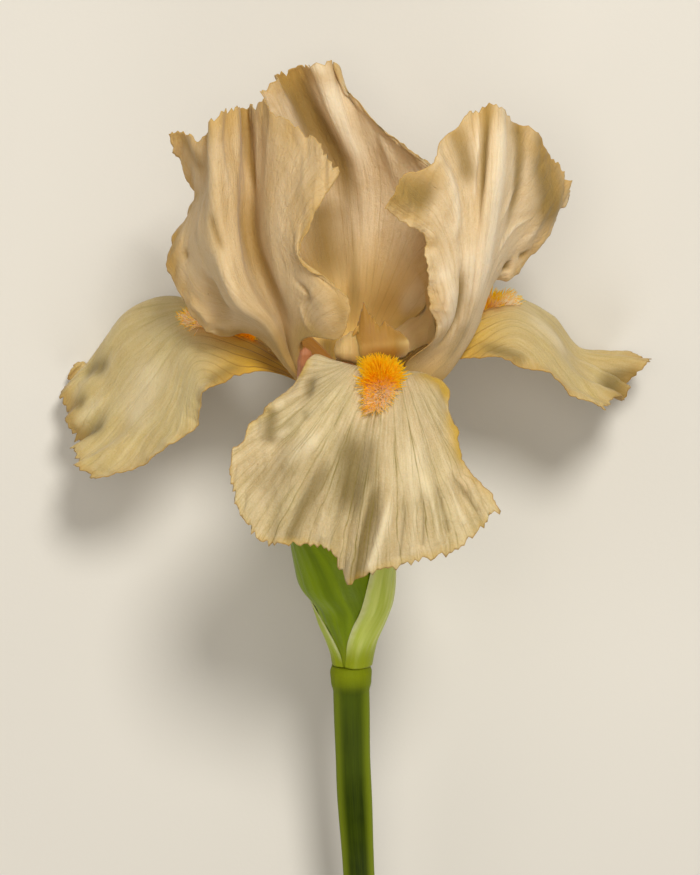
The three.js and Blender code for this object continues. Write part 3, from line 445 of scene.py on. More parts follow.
def limb(path, places, sides, radius):
    """The points and faces of a closed round body along a path, and its values: place along it, and
    how far to its side and front. radius(t, angle) shapes it, with angle 0 to the viewer."""
    centre = spline(path, places)
    step = 1e-4
    along = unit(spline(path, places + step) - spline(path, places - step))
    side = unit(np.cross(along, np.array([0.0, 0.0, 1.0])))
    front = unit(np.cross(side, along))
    t, turn = np.meshgrid(places, np.arange(sides) * 2 * math.pi / sides, indexing="ij")
    sine, cosine = np.sin(turn)[..., None], np.cos(turn)[..., None]
    rings = centre[:, None] + radius(t, turn)[..., None] * (side[:, None] * sine + front[:, None] * cosine)
    at = np.arange(t.size).reshape(t.shape)
    walls, after = ring_walls(at)
    first = np.full(sides, at.size)
    ends = [np.stack([first, after[0], at[0]], 1), np.stack([first + 1, at[-1], after[-1]], 1)]
    values = {
        "along": np.concatenate([t.ravel(), places[:1], places[-1:]]),
        "sine": np.concatenate([sine.ravel(), [0, 0]]),
        "cosine": np.concatenate([cosine.ravel(), [0, 0]]),
    }
    points = np.concatenate([rings.reshape(-1, 3), centre[:1], centre[-1:]])
    return points, [walls, np.concatenate(ends)], values


def joined(parts):
    """Several (points, faces, values) in one."""
    points, faces, values = [], {}, {}
    count = 0
    for part_points, part_faces, part_values in parts:
        points.append(part_points.reshape(-1, 3))
        for f in part_faces:
            faces.setdefault(f.shape[1], []).append(f + count)
        for key, value in part_values.items():
            values.setdefault(key, []).append(value.ravel())
        count += len(points[-1])
    faces = [np.concatenate(f) for f in faces.values()]
    return np.concatenate(points), faces, {key: np.concatenate(value) for key, value in values.items()}


# Materials.


def colour(text):
    """A colour written as red, green and blue in hexadecimal, for a shader."""
    shares = [int(text[i : i + 2], 16) / 255 for i in (0, 2, 4)]
    return [s / 12.92 if s <= 0.04045 else ((s + 0.055) / 1.055) ** 2.4 for s in shares] + [1]


class Value:
    """What a material's node gives, for sums written as usual."""

    def __init__(self, surface, socket):
        self.surface = surface
        self.socket = socket

    def __add__(self, other):
        return self.surface.math("ADD", self, other)

    def __sub__(self, other):
        return self.surface.math("SUBTRACT", self, other)

    def __mul__(self, other):
        return self.surface.math("MULTIPLY", self, other)

    def __abs__(self):
        return self.surface.math("ABSOLUTE", self)

    def step(self, low, high, start=0, end=1):
        """start at low, end at high, smooth between them."""
        inputs = dict(enumerate([self, low, high, start, end]))
        return self.surface.node("ShaderNodeMapRange", inputs, interpolation_type="SMOOTHSTEP")


class Surface:
    """A material made of nodes. A colour in it is a Value or written in hexadecimal."""

    def __init__(self, name, roughness, subsurface=0, depth=1, sheen=0, specular=0.5):
        self.material = bpy.data.materials.new(name)
        self.material.use_nodes = True
        self.tree = self.material.node_tree
        self.set("Roughness", roughness)
        self.set("Specular IOR Level", specular)
        self.set("Subsurface Weight", subsurface)
        self.set("Subsurface Scale", depth * MM)
        self.set("Subsurface Radius", (1, 0.72, 0.42))
        self.set("Sheen Weight", sheen)
        self.set("Sheen Roughness", 0.5)
        self.place = self.node("ShaderNodeTexCoord", output="Object")

    def put(self, socket, value):
        if isinstance(value, Value):
            self.tree.links.new(value.socket, socket)
        else:
            socket.default_value = colour(value) if isinstance(value, str) else value

    def set(self, name, value):
        self.put(self.tree.nodes["Principled BSDF"].inputs[name], value)

    def node(self, kind, inputs=None, output=0, **settings):
        node = self.tree.nodes.new(kind)
        for key, value in settings.items():
            setattr(node, key, value)
        for key, value in (inputs or {}).items():
            self.put(node.inputs[key], value)
        return Value(self, node.outputs[output])

    def value(self, name):
        """The numbers that the mesh holds under that name."""
        return self.node("ShaderNodeAttribute", output="Fac", attribute_name=name)

    def math(self, operation, *numbers):
        return self.node("ShaderNodeMath", dict(enumerate(numbers)), operation=operation)

    def vector(self, *numbers):
        return self.node("ShaderNodeCombineXYZ", dict(enumerate(numbers)))

    def noise(self, scale, detail=3, at=None, low=0.3, high=0.7):
        """Cloudy values from 0 to 1, with scale in cycles a metre where no place is given."""
        inputs = {"Vector": at or self.place, "Scale": scale, "Detail": detail}
        return self.node("ShaderNodeTexNoise", inputs).step(low, high)

    def cells(self, scale):
        """How far the nearest of many scattered places is."""
        return self.node("ShaderNodeTexVoronoi", {"Vector": self.place, "Scale": scale})

    def lines(self, across, far):
        """Fine lines along a round limb."""
        places = (self.value("cosine") * across, self.value("sine") * across, self.value("along") * far)
        return self.noise(1.0, 4, self.vector(*places))

    def mix(self, amount, first, second):
        """first where amount is 0, second where it is 1."""
        inputs = {0: amount, 6: first, 7: second}
        return self.node("ShaderNodeMix", inputs, output=2, data_type="RGBA")

    def layers(self, tone, *layers):
        """A colour with others over it, each (how much of it shows, colour)."""
        for amount, over in layers:
            tone = self.mix(amount, tone, over)
        return tone

    def finish(self, tone, roughness, height, depth, strength):
        """The material, with bumps depth millimetres high where height is 1."""
        inputs = {"Height": height, "Distance": depth * MM, "Strength": strength}
        self.set("Base Color", tone)
        self.set("Roughness", roughness)
        self.set("Normal", self.node("ShaderNodeBump", inputs))
        return self.material


def vein_lines(s, width):
    """Lines along the veins that fork twice on the way to the margin: those of the main veins, of
    their forks and of their twigs. width is in millimetres."""
    reach = s.value("reach")
    cell = s.math("FRACT", s.value("vein") + s.noise(120, 1).step(0.0, 1.0, -0.05, 0.05))

    def line(places, wide):
        gaps = [abs(cell - place) for place in places]
        return (s.math("MINIMUM", *gaps) * s.value("span")).step(wide * 0.3, wide, 1, 0)

    fork = reach.step(0.6, 0.95, 0, 0.31)
    other = s.math("SUBTRACT", 1.0, fork)
    twig = reach.step(0.8, 1.05, 0, 0.15)
    twigs = [fork + twig, other - twig]
    return line([0.0, 1.0], width), line([fork, other], width * 0.8), line(twigs, width * 0.6)


def petal_surface(name, look):
    """Petal tissue: a ground with cloudy tints and streaks, golden painted shade in the recesses and
    along fine creases, painted highlights on ridges, a darker throat, forked veins and a warm margin."""
    s = Surface(name, 0.6, look["subsurface"], sheen=0.1, specular=0.22)
    along, margin, vein = s.value("along"), s.value("margin"), s.value("vein")

    def stretched(across, far, detail=4, *span):
        return s.noise(1.0, detail, s.vector(vein * across, along * far), *span)

    streaks, fine, broad = stretched(4.4, 7.0), stretched(14.0, 16.0), stretched(1.0, 4.0)
    crepe, grain = s.noise(1000, 4, None, 0.25, 0.75), s.noise(2600, 2, None, 0.25, 0.75)
    crease = abs(stretched(2.2, 9.0, 3, 0.0, 1.0) - 0.5).step(0.0, 0.06, 1, 0)
    main, forks, twigs = vein_lines(s, look["vein_width"])
    lines = s.math("MAXIMUM", main, s.math("MAXIMUM", forks, twigs))
    strong = main * (s.value("strength") * look["main_veins"])
    faint = s.math("MAXIMUM", forks, twigs * 0.5) * look["fork_veins"]
    uneven = s.noise(130).step(0.0, 1.0, 0.3, 1) * along.step(0.12, 0.35)
    glow = margin.step(0.3, look["edge_width"], look["edge"], 0) * s.noise(110, 4, None, 0.3, 0.65)
    tone = s.layers(
        look["ground"],
        (s.noise(75, 4) * look["tint_amount"], look["tint"]),
        (s.noise(210, 4) * look["blotches"], look["shade"]),
        (broad * look["broad"], look["shade"]),
        (streaks * look["streaks"], look["pale"]),
        (fine * (look["streaks"] * 0.7), look["shade"]),
        (grain * 0.14, look["pale"]),
        # Painted shade along the fine creases.
        (crease * 0.08, look["shade"]),
        (along.step(*look["throat"], 1, 0), look["throat_colour"]),
        # Painted highlights on the marked ridges, and painted shade in the recesses.
        (s.value("ridge").step(0.0, 1.0, 0, look["ridges"]), look["pale"]),
        (s.value("hollow").step(0.0, 1.0, 0, look["painted_shade_amount"]), look["deep"]),
        (lines * along.step(*look["haft"], 0.75, 0), look["haft_veins"]),
        (s.math("MAXIMUM", strong, faint) * uneven, look["vein_colour"]),
        (s.math("MAXIMUM", glow, s.value("gold")), look["edge_colour"]),
        (margin.step(0.03, 0.42, 0.6, 0), look["rim"]),
        (s.value("bed") * 0.9, s.mix(along.step(0.53, 0.58), look["bed"], "E0BE8C")),
        (s.value("side").step(0.2, -0.2, 0, look["under_amount"]), look["under"]),
        (s.cells(105.0).step(0.016, 0.03, 0.45, 0), "8C6A34"),
    )
    furrows = streaks * 0.3 + fine * 0.4 + crepe * look["crepe"] + grain * 0.3
    height = furrows - lines * 0.25 - crease * 0.5
    return s.finish(tone, streaks.step(0.0, 1.0, 0.52, 0.68), height, 0.14, 0.7)


# In each look, deep is the colour of the painted shade in the petal's recesses, and ridges sets how strong
# the painted highlight, in the pale colour, is on its ridges.
STANDARD = {
    "ground": "DEC8A4", "tint": "D0B280", "shade": "B09052", "pale": "F8EAD4", "deep": "8A681C",
    "tint_amount": 0.5, "blotches": 0.15, "broad": 0.2, "streaks": 0.18, "painted_shade_amount": 0.88, "ridges": 0.55,
    "subsurface": 0.3, "crepe": 0.5, "throat": (0.02, 0.42), "throat_colour": "CCA24C",
    "haft": (0.05, 0.2), "haft_veins": "A87C3C", "vein_width": 0.28,
    "main_veins": 0.22, "fork_veins": 0.14, "vein_colour": "A08044",
    "edge": 0.62, "edge_width": 9.0, "edge_colour": "B8944A", "rim": "B08A44", "bed": "D8B884",
    "under": "D0B27C", "under_amount": 0.1,
}
FALL = {
    "ground": "C4B282", "tint": "C2A67E", "shade": "948250", "pale": "EEE0C0", "deep": "6E5C2A",
    "tint_amount": 0.6, "blotches": 0.3, "broad": 0.35, "streaks": 0.3, "painted_shade_amount": 0.85, "ridges": 0.8,
    "subsurface": 0.25, "crepe": 0.8, "throat": (0.12, 0.42), "throat_colour": "C09840",
    "haft": (0.25, 0.5), "haft_veins": "8A5A14", "vein_width": 0.26,
    "main_veins": 0.7, "fork_veins": 0.3, "vein_colour": "76691C",
    "edge": 0.3, "edge_width": 2.4, "edge_colour": "BE9816", "rim": "A07630", "bed": "F0A41C",
    "under": "B89858", "under_amount": 0.5,
}
SIDE_FALL = {
    **FALL, "ground": "CAB87C", "tint": "C6AE70", "shade": "A68C50", "throat": (0.34, 0.62),
    "throat_colour": "CCA030", "haft": (0.3, 0.6), "main_veins": 0.2, "fork_veins": 0.1, "broad": 0.25,
    "blotches": 0.2, "streaks": 0.2, "crepe": 0.4, "edge": 0.45, "edge_width": 4.0, "edge_colour": "B48C3C",
}
LOOKS = {
    # standard_left is a darker copy of the standards' tissue, with weaker highlights: painted shade, as
    # that petal lies in more shade than the others.
    "standard_left": {**STANDARD, "ground": "CCB48C", "tint": "C0A06C", "pale": "E6D4B6", "ridges": 0.4},
    "standard_right": {**STANDARD, "tint": "CCB07E", "deep": "785E1A", "painted_shade_amount": 0.92},
    "standard_back": {**STANDARD, "throat": (0.2, 0.54), "throat_colour": "EEC878", "deep": "866820"},
    "fall_front": FALL,
    "fall_left": SIDE_FALL,
    "fall_right": {**SIDE_FALL, "ground": "C0AC6C", "tint": "BCA264", "throat_colour": "C89C20"},
}


def style_surface():
    """The style's tissue: amber gold, pink on its flanks, paler at the lobes of its end, deeper amber
    under the lobes that is partly painted shade, amber painted shade over the left arm, and pale
    painted light over the right arm.
    """
    s = Surface("style_tissue", 0.6, 0.5, 1.5, sheen=0.1, specular=0.22)
    along, across = s.value("along"), s.value("across")
    streaks = s.noise(1.0, 4, s.vector(across * 12.0, along * 4.0))
    rib = abs(across - 0.5).step(0.02, 0.16, 0.35, 0)
    tone = s.layers(
        s.mix(s.noise(140), "F4CC88", "F2C090"),
        (along.step(0.6, 0.8, 0, 0.88), "9C7628"),
        (streaks * 0.25, "C09A50"),
        (rib * along.step(0.5, 0.8, 1, 0), "8E6420"),
        # Pale at the lobes' ends, and as painted light over the shaded right arm; amber under the lobes,
        # partly painted shade, and as painted shade over the lit left arm.
        (s.value("lobe") * 0.75, "D8BE88"),
        (s.value("low") * 0.9, "905E04"),
        (s.value("margin").step(0.1, 1.4, 0.35, 0), "C8AC6E"),
        (s.value("side").step(0.2, -0.2, 0, 0.3), "C08C34"),
    )
    height = streaks + s.noise(1700) * 0.8
    return s.finish(tone, streaks.step(0.0, 1.0, 0.52, 0.68), height, 0.06, 0.6)


def beard_surface():
    """Hairs: orange with yellow tips at the near end of the beard, cream with orange tips at its far
    end, and a faint glow in their own colour that is painted light."""
    s = Surface("beard_hairs", 0.6, 0.9, 2.5, specular=0.08)
    s.set("Subsurface Radius", (1, 0.75, 0.3))
    tip, far = s.value("tip"), s.value("place").step(0.55, 0.85)
    body = s.mix(s.noise(500, 2), "FFB010", "FA9A00")
    tone = s.layers(
        s.mix(far, "EC9000", "FFE8B8"),
        ((tip - far * 0.4).step(0.2, 0.55), body),
        (s.value("lot").step(0.0, 1.0, 0, 0.35), "E88000"),
    )
    # Painted light: the hairs glow faintly in their own colour, which lifts the shade between them.
    s.set("Emission Color", tone)
    s.set("Emission Strength", 0.1)
    return s.finish(tone, tip.step(0.0, 1.0, 0.6, 0.5), s.noise(2600, 2), 0.03, 0.4)


def bract_surface(name, look):
    """A ribbed leaf with a pale, papery margin."""
    s = Surface(name, 0.5, 0.2, 1.2, specular=0.15)
    along = s.value("along")
    rib = s.noise(1.0, 4, s.vector(s.value("across") * look["ribs"], along * 1.5), 0.28, 0.72)
    ragged = s.value("margin") + s.noise(300).step(0.0, 1.0, -0.2, 0.2)
    papery = ragged.step(0.0, look["papery"], 0.75, 0) * along.step(0.04, 0.3)
    tone = s.layers(
        s.mix(rib, look["valley"], look["ridge"]),
        (s.noise(90) * 0.4, look["cloud"]),
        (along.step(0.04, 0.3, 0.95, 0), look["foot"]),
        (s.value("side").step(0.2, -0.2, 0, 0.15), "9AA63A"),
        (papery, s.mix(s.noise(260), "E2E4B4", "CED08E")),
    )
    return s.finish(tone, papery.step(0.0, 1.0, 0.4, 0.7), rib + s.noise(1500) * 0.35, 0.15, 0.6)


def stem_surface():
    """Green skin with fine lines along it, painted light on its sides, a thin waxy bloom, and the wet
    pith of the cut end.
    """
    s = Surface("stem_skin", 0.6, 0.1, specular=0.05)
    along, cut = s.value("along"), s.value("cut")
    lines = s.lines(9.0, 9.0)
    pith = s.mix(s.cells(1100.0).step(0.16, 0.34), "8FA04E", "D9DDAF")
    tone = s.layers(
        s.mix(lines, "162300", "2C3900"),
        (s.noise(60, 4) * 0.35, "445400"),
        # Painted light: the skin is lighter on the stem's sides, toward its outline, than in its middle.
        (abs(s.value("sine")).step(0.4, 0.98) * 0.7, "8A9A18"),
        (along.step(0.02, 0.3, 0.25, 0), "66780E"),
        (along.step(0.01, 0.05, 0.9, 0), "7E8A04"),
        (s.noise(22) * 0.06, "84906A"),
        (cut.step(0.0, 0.02), s.mix(cut.step(0.82, 0.94), pith, "7C9534")),
    )
    return s.finish(tone, lines.step(0.0, 1.0, 0.5, 0.6), lines + s.noise(1300) * 0.3, 0.1, 0.5)


def tube_surface():
    """The ovary and the tube: pale green skin, yellower to the petals, with fine lines along it."""
    s = Surface("tube_skin", 0.42, 0.15, specular=0.45)
    lines = s.lines(6.0, 6.0)
    tone = s.layers(
        s.mix(lines, "7F9440", "A9B562"),
        (s.value("along").step(0.6, 0.98), "D3C57E"),
        (s.noise(160) * 0.35, "8E8A4E"),
    )
    return s.finish(tone, lines.step(0.0, 1.0, 0.38, 0.52), lines + s.noise(1500) * 0.3, 0.08, 0.5)


def bud_surface():
    """Rolled petals: green-cream at the foot, pink above, and a dark red-brown cap."""
    s = Surface("bud_petals", 0.48, 0.25, specular=0.4)
    along = s.value("along")
    streaks = s.lines(6.0, 7.0)
    cap = along + streaks.step(0.0, 1.0, -0.03, 0.03)
    tone = s.layers(
        s.mix(along.step(0.45, 0.85), "BFC08A", "BC886A"),
        (streaks * 0.5, "CC987C"),
        (cap.step(0.9, 0.97, 0, 0.85), "A8683C"),
    )
    return s.finish(tone, streaks.step(0.0, 1.0, 0.4, 0.55), streaks + s.noise(1600) * 0.4, 0.1, 0.6)


def stamen_surface():
    """A cream filament, and an anther dusted with pollen."""
    s = Surface("stamen_tissue", 0.6, 0.2, 0.8, specular=0.3)
    along = s.value("along")
    pollen = s.mix(s.noise(2400), "F2EBD0", "CDBD86")
    tone = s.mix(along.step(0.54, 0.6), s.mix(s.noise(200), "E9DEB6", "D9C98E"), pollen)
    return s.finish(tone, along.step(0.5, 0.6, 0.5, 0.8), s.noise(2400, 4), 0.1, 0.8)


# Petals.

# Soft ridges and furrows beyond the solids' own folds: how far each lifts the petal's upper or inner
# side, its half width or those at its first and last place, how much painted shade it lays on the
# tissue (or, below 0, how much painted highlight), and the places that it passes, along and across in
# hundredths.
MARKS = {
    "standard_left": """
        1.1 3.6 0.85: 84 60, 70 59, 60 59, 50 62, 38 65, 26 66
        0.4 2.8 0.8 0.9: 100 55, 92 57, 82 60, 72 60
        0.5 0.45 0.3: 100 62, 90 61.5, 78 60
        0.3 1.8 0.7 0.35: 98 38, 90 40, 78 46, 70 52
        -0.5 1 0.5 -0.4: 100 47, 87 50, 76 55
        -0.4 1.1 0.6 -0.5: 97 31, 86 35, 74 42
        -0.4 1.4 0.5 -0.5: 100 66, 88 65, 74 62
        -0.3 1.2 0.5 -0.35: 100 76, 88 73, 76 68
        -0.4 2.8 -0.2: 76 33, 65 37, 55 37, 45 40, 38 44
        -0.6 1.4 -0.6: 84 19, 76 20, 68 22
        -0.5 3.4 -0.5: 85 82, 70 80, 58 76
        0.9 1.3 0.7: 78 27, 70 29, 62 34
        0.5 2.6 0.6: 99 4, 94 10, 88 16
        0.2 3.2 0.85: 80 2, 70 2, 60 3
        0.8 1.4 0.6: 69 11, 65 14
        1.9 3.4 0.45: 60 20, 54 17, 48 14, 42 13
        0 3.4 0.5: 34 45, 24 50, 14 50
        -1 1.3 -0.5: 64 29, 54 29, 45 27, 38 27
        -1.2 1.1 -0.6: 57 5, 52 6, 47 5
        0.6 1.8 0.7: 47 1, 40 3, 34 4
        -1 3.4 0.15: 50 86, 40 92, 30 92
        0.8 0.8 0.5: 50 80, 44 86, 38 80
        -0.4 0.7 -0.6: 40 80, 32 84, 27 92
        0.3 2.4 0.6: 52 95, 42 98, 32 96
    """,
    "standard_right": """
        0.6 6 1: 99 8, 93 14, 84 19
        0.5 3 0.75: 98 37, 90 38, 82 38
        -0.3 1.4 -1: 100 0, 90 1, 80 3, 72 8
        -0.6 1.4 -0.7: 97 27, 85 28, 75 26, 68 20
        -0.8 0.6 -1: 100 48, 92 46, 85 42, 78 41
        0.6 1.7 0.6 1: 100 52.5, 95 51.5, 88 49.5, 80 48, 70 46.5
        -0.3 2.4 3.2 -1: 100 60, 85 60, 70 60, 55 58, 45 50
        -0.5 0.5 0.8 -0.7: 86 74, 78 70, 70 66
        -0.5 0.6 0.9 -0.7: 78 82, 70 76, 60 70
        0.4 1.2 0.6: 97 80, 92 78, 86 77
        -0.5 2.4 -0.7: 66 40, 55 38, 45 40
        0.5 2.8 1.2 0.85: 98 69, 88 71, 78 73, 68 74
        0.1 6 1: 100 78, 95 80, 90 85, 84 90, 80 95
        -0.8 1.2 -0.7: 88 86, 80 86, 72 88
        1.1 1.5 0.9: 74 96, 68 92
        1.1 1.2 0.9: 63 88, 60 94
        -0.7 2.6 -1: 64 10, 50 12, 40 12, 33 8
        1.5 1.3 0.9: 60 28, 50 29, 42 28, 34 24, 26 20
        0.5 0.5 0.3: 60 8, 50 10, 44 7
        0.3 2.6 0.5: 42 50, 30 50, 20 50
    """,
    "standard_back": """
        -1.7 4.2 1: 98 70, 90 67, 80 63, 70 58, 60 54, 45 53
        1.6 3 -1: 100 42, 90 42, 80 42, 70 40, 60 38
        0.4 2 -0.4: 60 38, 50 40, 35 44
        0.8 1.2 0.15: 100 84, 90 80, 82 76
        -0.4 9 0.8: 60 74, 45 76, 30 70
        -0.8 1.5 0.3: 98 32, 90 28, 80 30, 68 30
        0.8 1.8 -0.3: 90 14, 80 18, 65 20
        -0.5 4 0.5: 68 12, 60 14, 54 17
        0.3 0.8 3 0.55: 62 54, 45 53, 35 52, 26 52, 18 52
        0 4 0.5: 50 85, 40 82, 30 80
        0 5 -1: 40 2, 34 6, 28 10
        0 6 1: 20 84, 14 76, 8 70
        0 5 0.75: 44 96, 32 92, 20 84
    """,
    "fall_front": """
        -1.5 2 1: 100 60.5, 94 61, 86 62.5, 78 62
        1.1 1.3 -0.7: 99 65.5, 92 67.5, 84 69
        -1 2.6 0.75: 98 30, 90 33, 82 37, 74 40
        0.8 1.8 -0.3: 97 41, 90 44, 84 47
        -0.9 2.4 0.75: 72 2, 76 5, 80 9, 81 14
        -0.8 1.9 0.7: 57 10, 61 14, 66 18
        -0.5 1.5 0.45: 67 19, 71 22
        0.6 1.2 -0.5: 72 2, 68 6
        0.8 1.1 -0.5: 84 4, 79 10, 72 20
        0.7 2.4 -0.6: 84 20, 77 27, 70 32
        -0.5 5 0.85: 90 53, 78 50, 66 46
        -0.3 3 0.6: 84 60, 76 59, 68 57
        0 6 0.4: 95 12, 85 20, 75 30
        0.3 4 -0.5: 90 80, 80 78, 70 80
        -0.9 0.7 0.6: 98 74, 90 74, 84 72
        0.6 0.6 -0.4: 98 77, 90 77, 82 76
        -0.8 0.6 0.6: 97 80, 90 80, 82 78
        0.6 0.6 -0.4: 97 84, 90 83, 82 81
        -0.8 0.6 0.6: 96 87, 90 86, 82 84
        0.6 0.6 -0.4: 96 91, 90 90, 84 88
        -0.8 0.6 0.6: 96 95, 90 94, 84 92
    """,
    "fall_left": """
        -1.6 3.2 0.75: 93 30, 87 38, 83 45
        -1.4 3 0.75: 100 36, 95 42, 92 47
        -1.8 3.6 0.85: 100 56, 94 60, 89 66
        0 3 0.5: 99 10, 99 30, 99 55
        0.9 1.8 -0.4: 97 50, 90 51, 84 53
        0.3 8 -0.5: 86 76, 76 66, 66 56
        -0.2 3 0.6: 56 97, 46 94, 34 92
    """,
    "fall_right": """
        -0.8 5 1: 100 26, 97 34, 90 36
        -0.8 3.2 1: 100 55, 96 50, 93 46
        0.8 1.2 -0.4: 96 40, 90 42, 84 44
        0.3 5 -0.5: 80 30, 70 36, 60 40
        -0.2 3 0.7: 66 3, 54 6, 42 10
    """,
}

# Where a margin lies out from or in from the solid's: its edge (the tip, or the side where the first
# vein is, called low, or where the last one is, called high), the place along that edge, the half
# width there, and millimetres outward, or across, up and forward.
EDGES = {
    "standard_left": [
        ("low", 0.4, 0.06, 3.0), ("low", 0.835, 0.016, -2.6), ("low", 0.76, 0.036, 2.8),
        ("tip", 0.06, 0.04, 1.4), ("tip", 0.93, 0.05, 0.9), ("high", 0.55, 0.04, -1.3),
        ("high", 0.19, 0.08, 5.5),
    ],
    "standard_right": [
        ("tip", 0.23, 0.05, -2.6), ("tip", 0.37, 0.03, -0.9), ("tip", 0.42, 0.035, 1.3),
        ("tip", 0.66, 0.04, -1.5), ("low", 0.76, 0.06, -2.2), ("low", 0.64, 0.03, 0.8),
        ("high", 0.83, 0.03, -1.2), ("low", 0.2, 0.09, (-4.2, 0.3, 0)),
    ],
    "standard_back": [
        ("tip", 0.28, 0.06, 1.8), ("tip", 0.1, 0.06, -1.3), ("low", 0.3, 0.12, 4.5),
        ("high", 0.18, 0.08, 8.0),
    ],
    "fall_front": [
        ("low", 0.96, 0.02, 1.6), ("low", 0.9, 0.02, -1.2), ("high", 0.95, 0.03, 0.7),
        ("tip", 0.26, 0.03, -0.8), ("high", 0.54, 0.07, 2.6),
    ],
}
EDGE_REACH = 9.0

# Golden places, mostly margins: how strong, the half width, and the places that each passes, along
# and across in hundredths.
GOLD = {
    "standard_left": """
        0.8 1: 86 99, 76 99, 68 99
        0.5 1.6: 45 0, 38 2
        0.5 1.5: 98 32, 93 33
        0.5 1.2: 100 45, 95 46
        0.7 3: 28 97, 20 95, 12 90
    """,
    "standard_right": """
        0.7 1.6: 80 100, 70 99, 60 97
        0.5 1.2: 100 42, 95 44
        0.5 1: 100 75, 100 88, 95 98
        0.8 2.4: 30 2, 20 3, 12 6
    """,
    "standard_back": """
        0.8 2.2: 100 38, 93 34
        0.5 1.5: 100 85, 100 95
        0.7 5: 40 94, 30 90, 20 80
    """,
    "fall_front": """
        0.85 4.2: 42 90, 48 94, 56 97, 64 98
        0.8 2.6: 62 99, 78 100, 88 100
        0.5 1.4: 48 0, 62 1
    """,
    "fall_left": """
        0.4 3: 99 20, 99 45, 99 60
    """,
    "fall_right": """
        0.3 2: 99 20, 99 50, 99 80
    """,
}
SEEN_FROM_OUTSIDE = ["standard_left", "standard_right"]

# How strong the fine pleats at the end of each petal are.
PLEATED = {
    "standard_left": 1, "standard_right": 1, "standard_back": 0.6,
    "fall_front": 0.5, "fall_left": 0.4, "fall_right": 0.4,
}

# How many veins a petal has, and how they gather: place along, how much of the width they span there.
VEIN_COUNT = {"standard": 9, "fall": 8}
VEIN_SPREAD = {
    "standard": rows("0 0.8, 0.3 0.55, 0.6 0.75, 1 1"),
    "fall": rows("0 1, 0.35 0.9, 0.58 0.45, 0.8 0.7, 1 1"),
}

# The front fall's veins fan out from two places behind its beard, each given across and up: those to
# the left from the second. Each vein is its degrees from straight down and how dark it is.
FAN_PLACES = [(8.8, 22.4), (3.3, 11.2)]
FAN_TURN = (-36, -58)
FAN_VEINS = rows("""
    -150 0.1, -125 0.15, -103 0.2, -88 0.22, -75 0.22, -63 0.25, -52 0.25, -43 0.3, -36 0.5, -28.5 0.9,
    -20.5 0.8, -11.8 0.9, -8.5 1, -5.5 0.8, 2.5 0.85, 10.7 0.95, 17.5 0.7, 25.5 0.5, 33 0.4, 41 0.3,
    50 0.3, 62 0.2, 90 0.1
""")
FAN_START = (0.33, 0.4)

PETAL_ROWS = 180
PETAL_COLUMNS = 110
LINE_STEPS = 16
AT_MARGIN = 0.96


def marks(text):
    """A table's marks: the numbers of each, and the places that it passes, as shares."""
    for line in text.strip().splitlines():
        numbers, places = line.split(":")
        yield [float(number) for number in numbers.split()], np.array(rows(places)) / 100


def petal_veins(petal):
    """A petal's guide veins, each from its foot on the tube."""
    veins = tables(petal["veins"])
    azimuths = np.radians(petal["azimuth"] + FOOT_SPREAD * np.linspace(-1, 1, len(veins)))
    height = np.full(len(veins), FOOT_HEIGHT - FOOT_SUNK)
    feet = on_axis(FOOT_RADIUS * np.sin(azimuths), FOOT_RADIUS * np.cos(azimuths), height)
    return [[foot, *vein] for foot, vein in zip(feet, veins)]


def petal_relief(petal, u, v):
    """How far the folds and the ruffle lift the petal, as in its solid."""
    lift = np.zeros_like(u)
    for place, half_width, height, start in rows(petal["folds"]):
        lift += height * smooth(u, start, 1) * bell(v - place, half_width)
    height, waves, depth, phase, side_depth = petal["ruffle"]
    tip = smooth(u, 1 - depth * TIP_RUFFLE_REACH, 1)
    lift += height * tip * np.sin(2 * math.pi * waves * v + phase)
    side = smooth(np.abs(2 * v - 1), 1 - side_depth, 1)
    along = smooth(u, SIDE_RUFFLE_START, SIDE_RUFFLE_FULL) * (1 - tip)
    lift += height * side * along * np.sin(2 * math.pi * SIDE_WAVES * u + phase)
    return lift


def moved_margins(name, grid, u, v):
    """A petal's grid with its margins brought to where the photograph has them."""
    out, aside = unit(np.gradient(grid, axis=0)), unit(np.gradient(grid, axis=1))
    _, width, end, _ = margin_gap(grid)
    edges = {"tip": (end, out, v), "low": (width, -aside, u), "high": (width[:, -1:] - width, aside, u)}
    shift = np.zeros_like(grid)
    for edge, place, half_width, amount in EDGES.get(name, []):
        gap, way, run = edges[edge]
        near = smooth(gap, EDGE_REACH, 0) ** 2 * bell(run - place, half_width)
        shift += near[..., None] * (np.array(amount) if isinstance(amount, tuple) else way * amount)
    return grid + shift


def places_on(grid, u, v, at_u, at_v):
    """Points at places along and across a petal, and the ways along and across it there."""
    row = np.interp(at_u, u[:, 0], np.arange(len(u)))
    column = np.interp(at_v, v[0], np.arange(v.shape[1]))
    i = np.clip(row.astype(int), 0, PETAL_ROWS - 1)
    j = np.clip(column.astype(int), 0, PETAL_COLUMNS - 1)
    a, b = (row - i)[:, None], (column - j)[:, None]
    near = grid[i, j] * (1 - b) + grid[i, j + 1] * b
    far = grid[i + 1, j] * (1 - b) + grid[i + 1, j + 1] * b
    return near * (1 - a) + far * a, far - near, grid[i, j + 1] - grid[i, j]


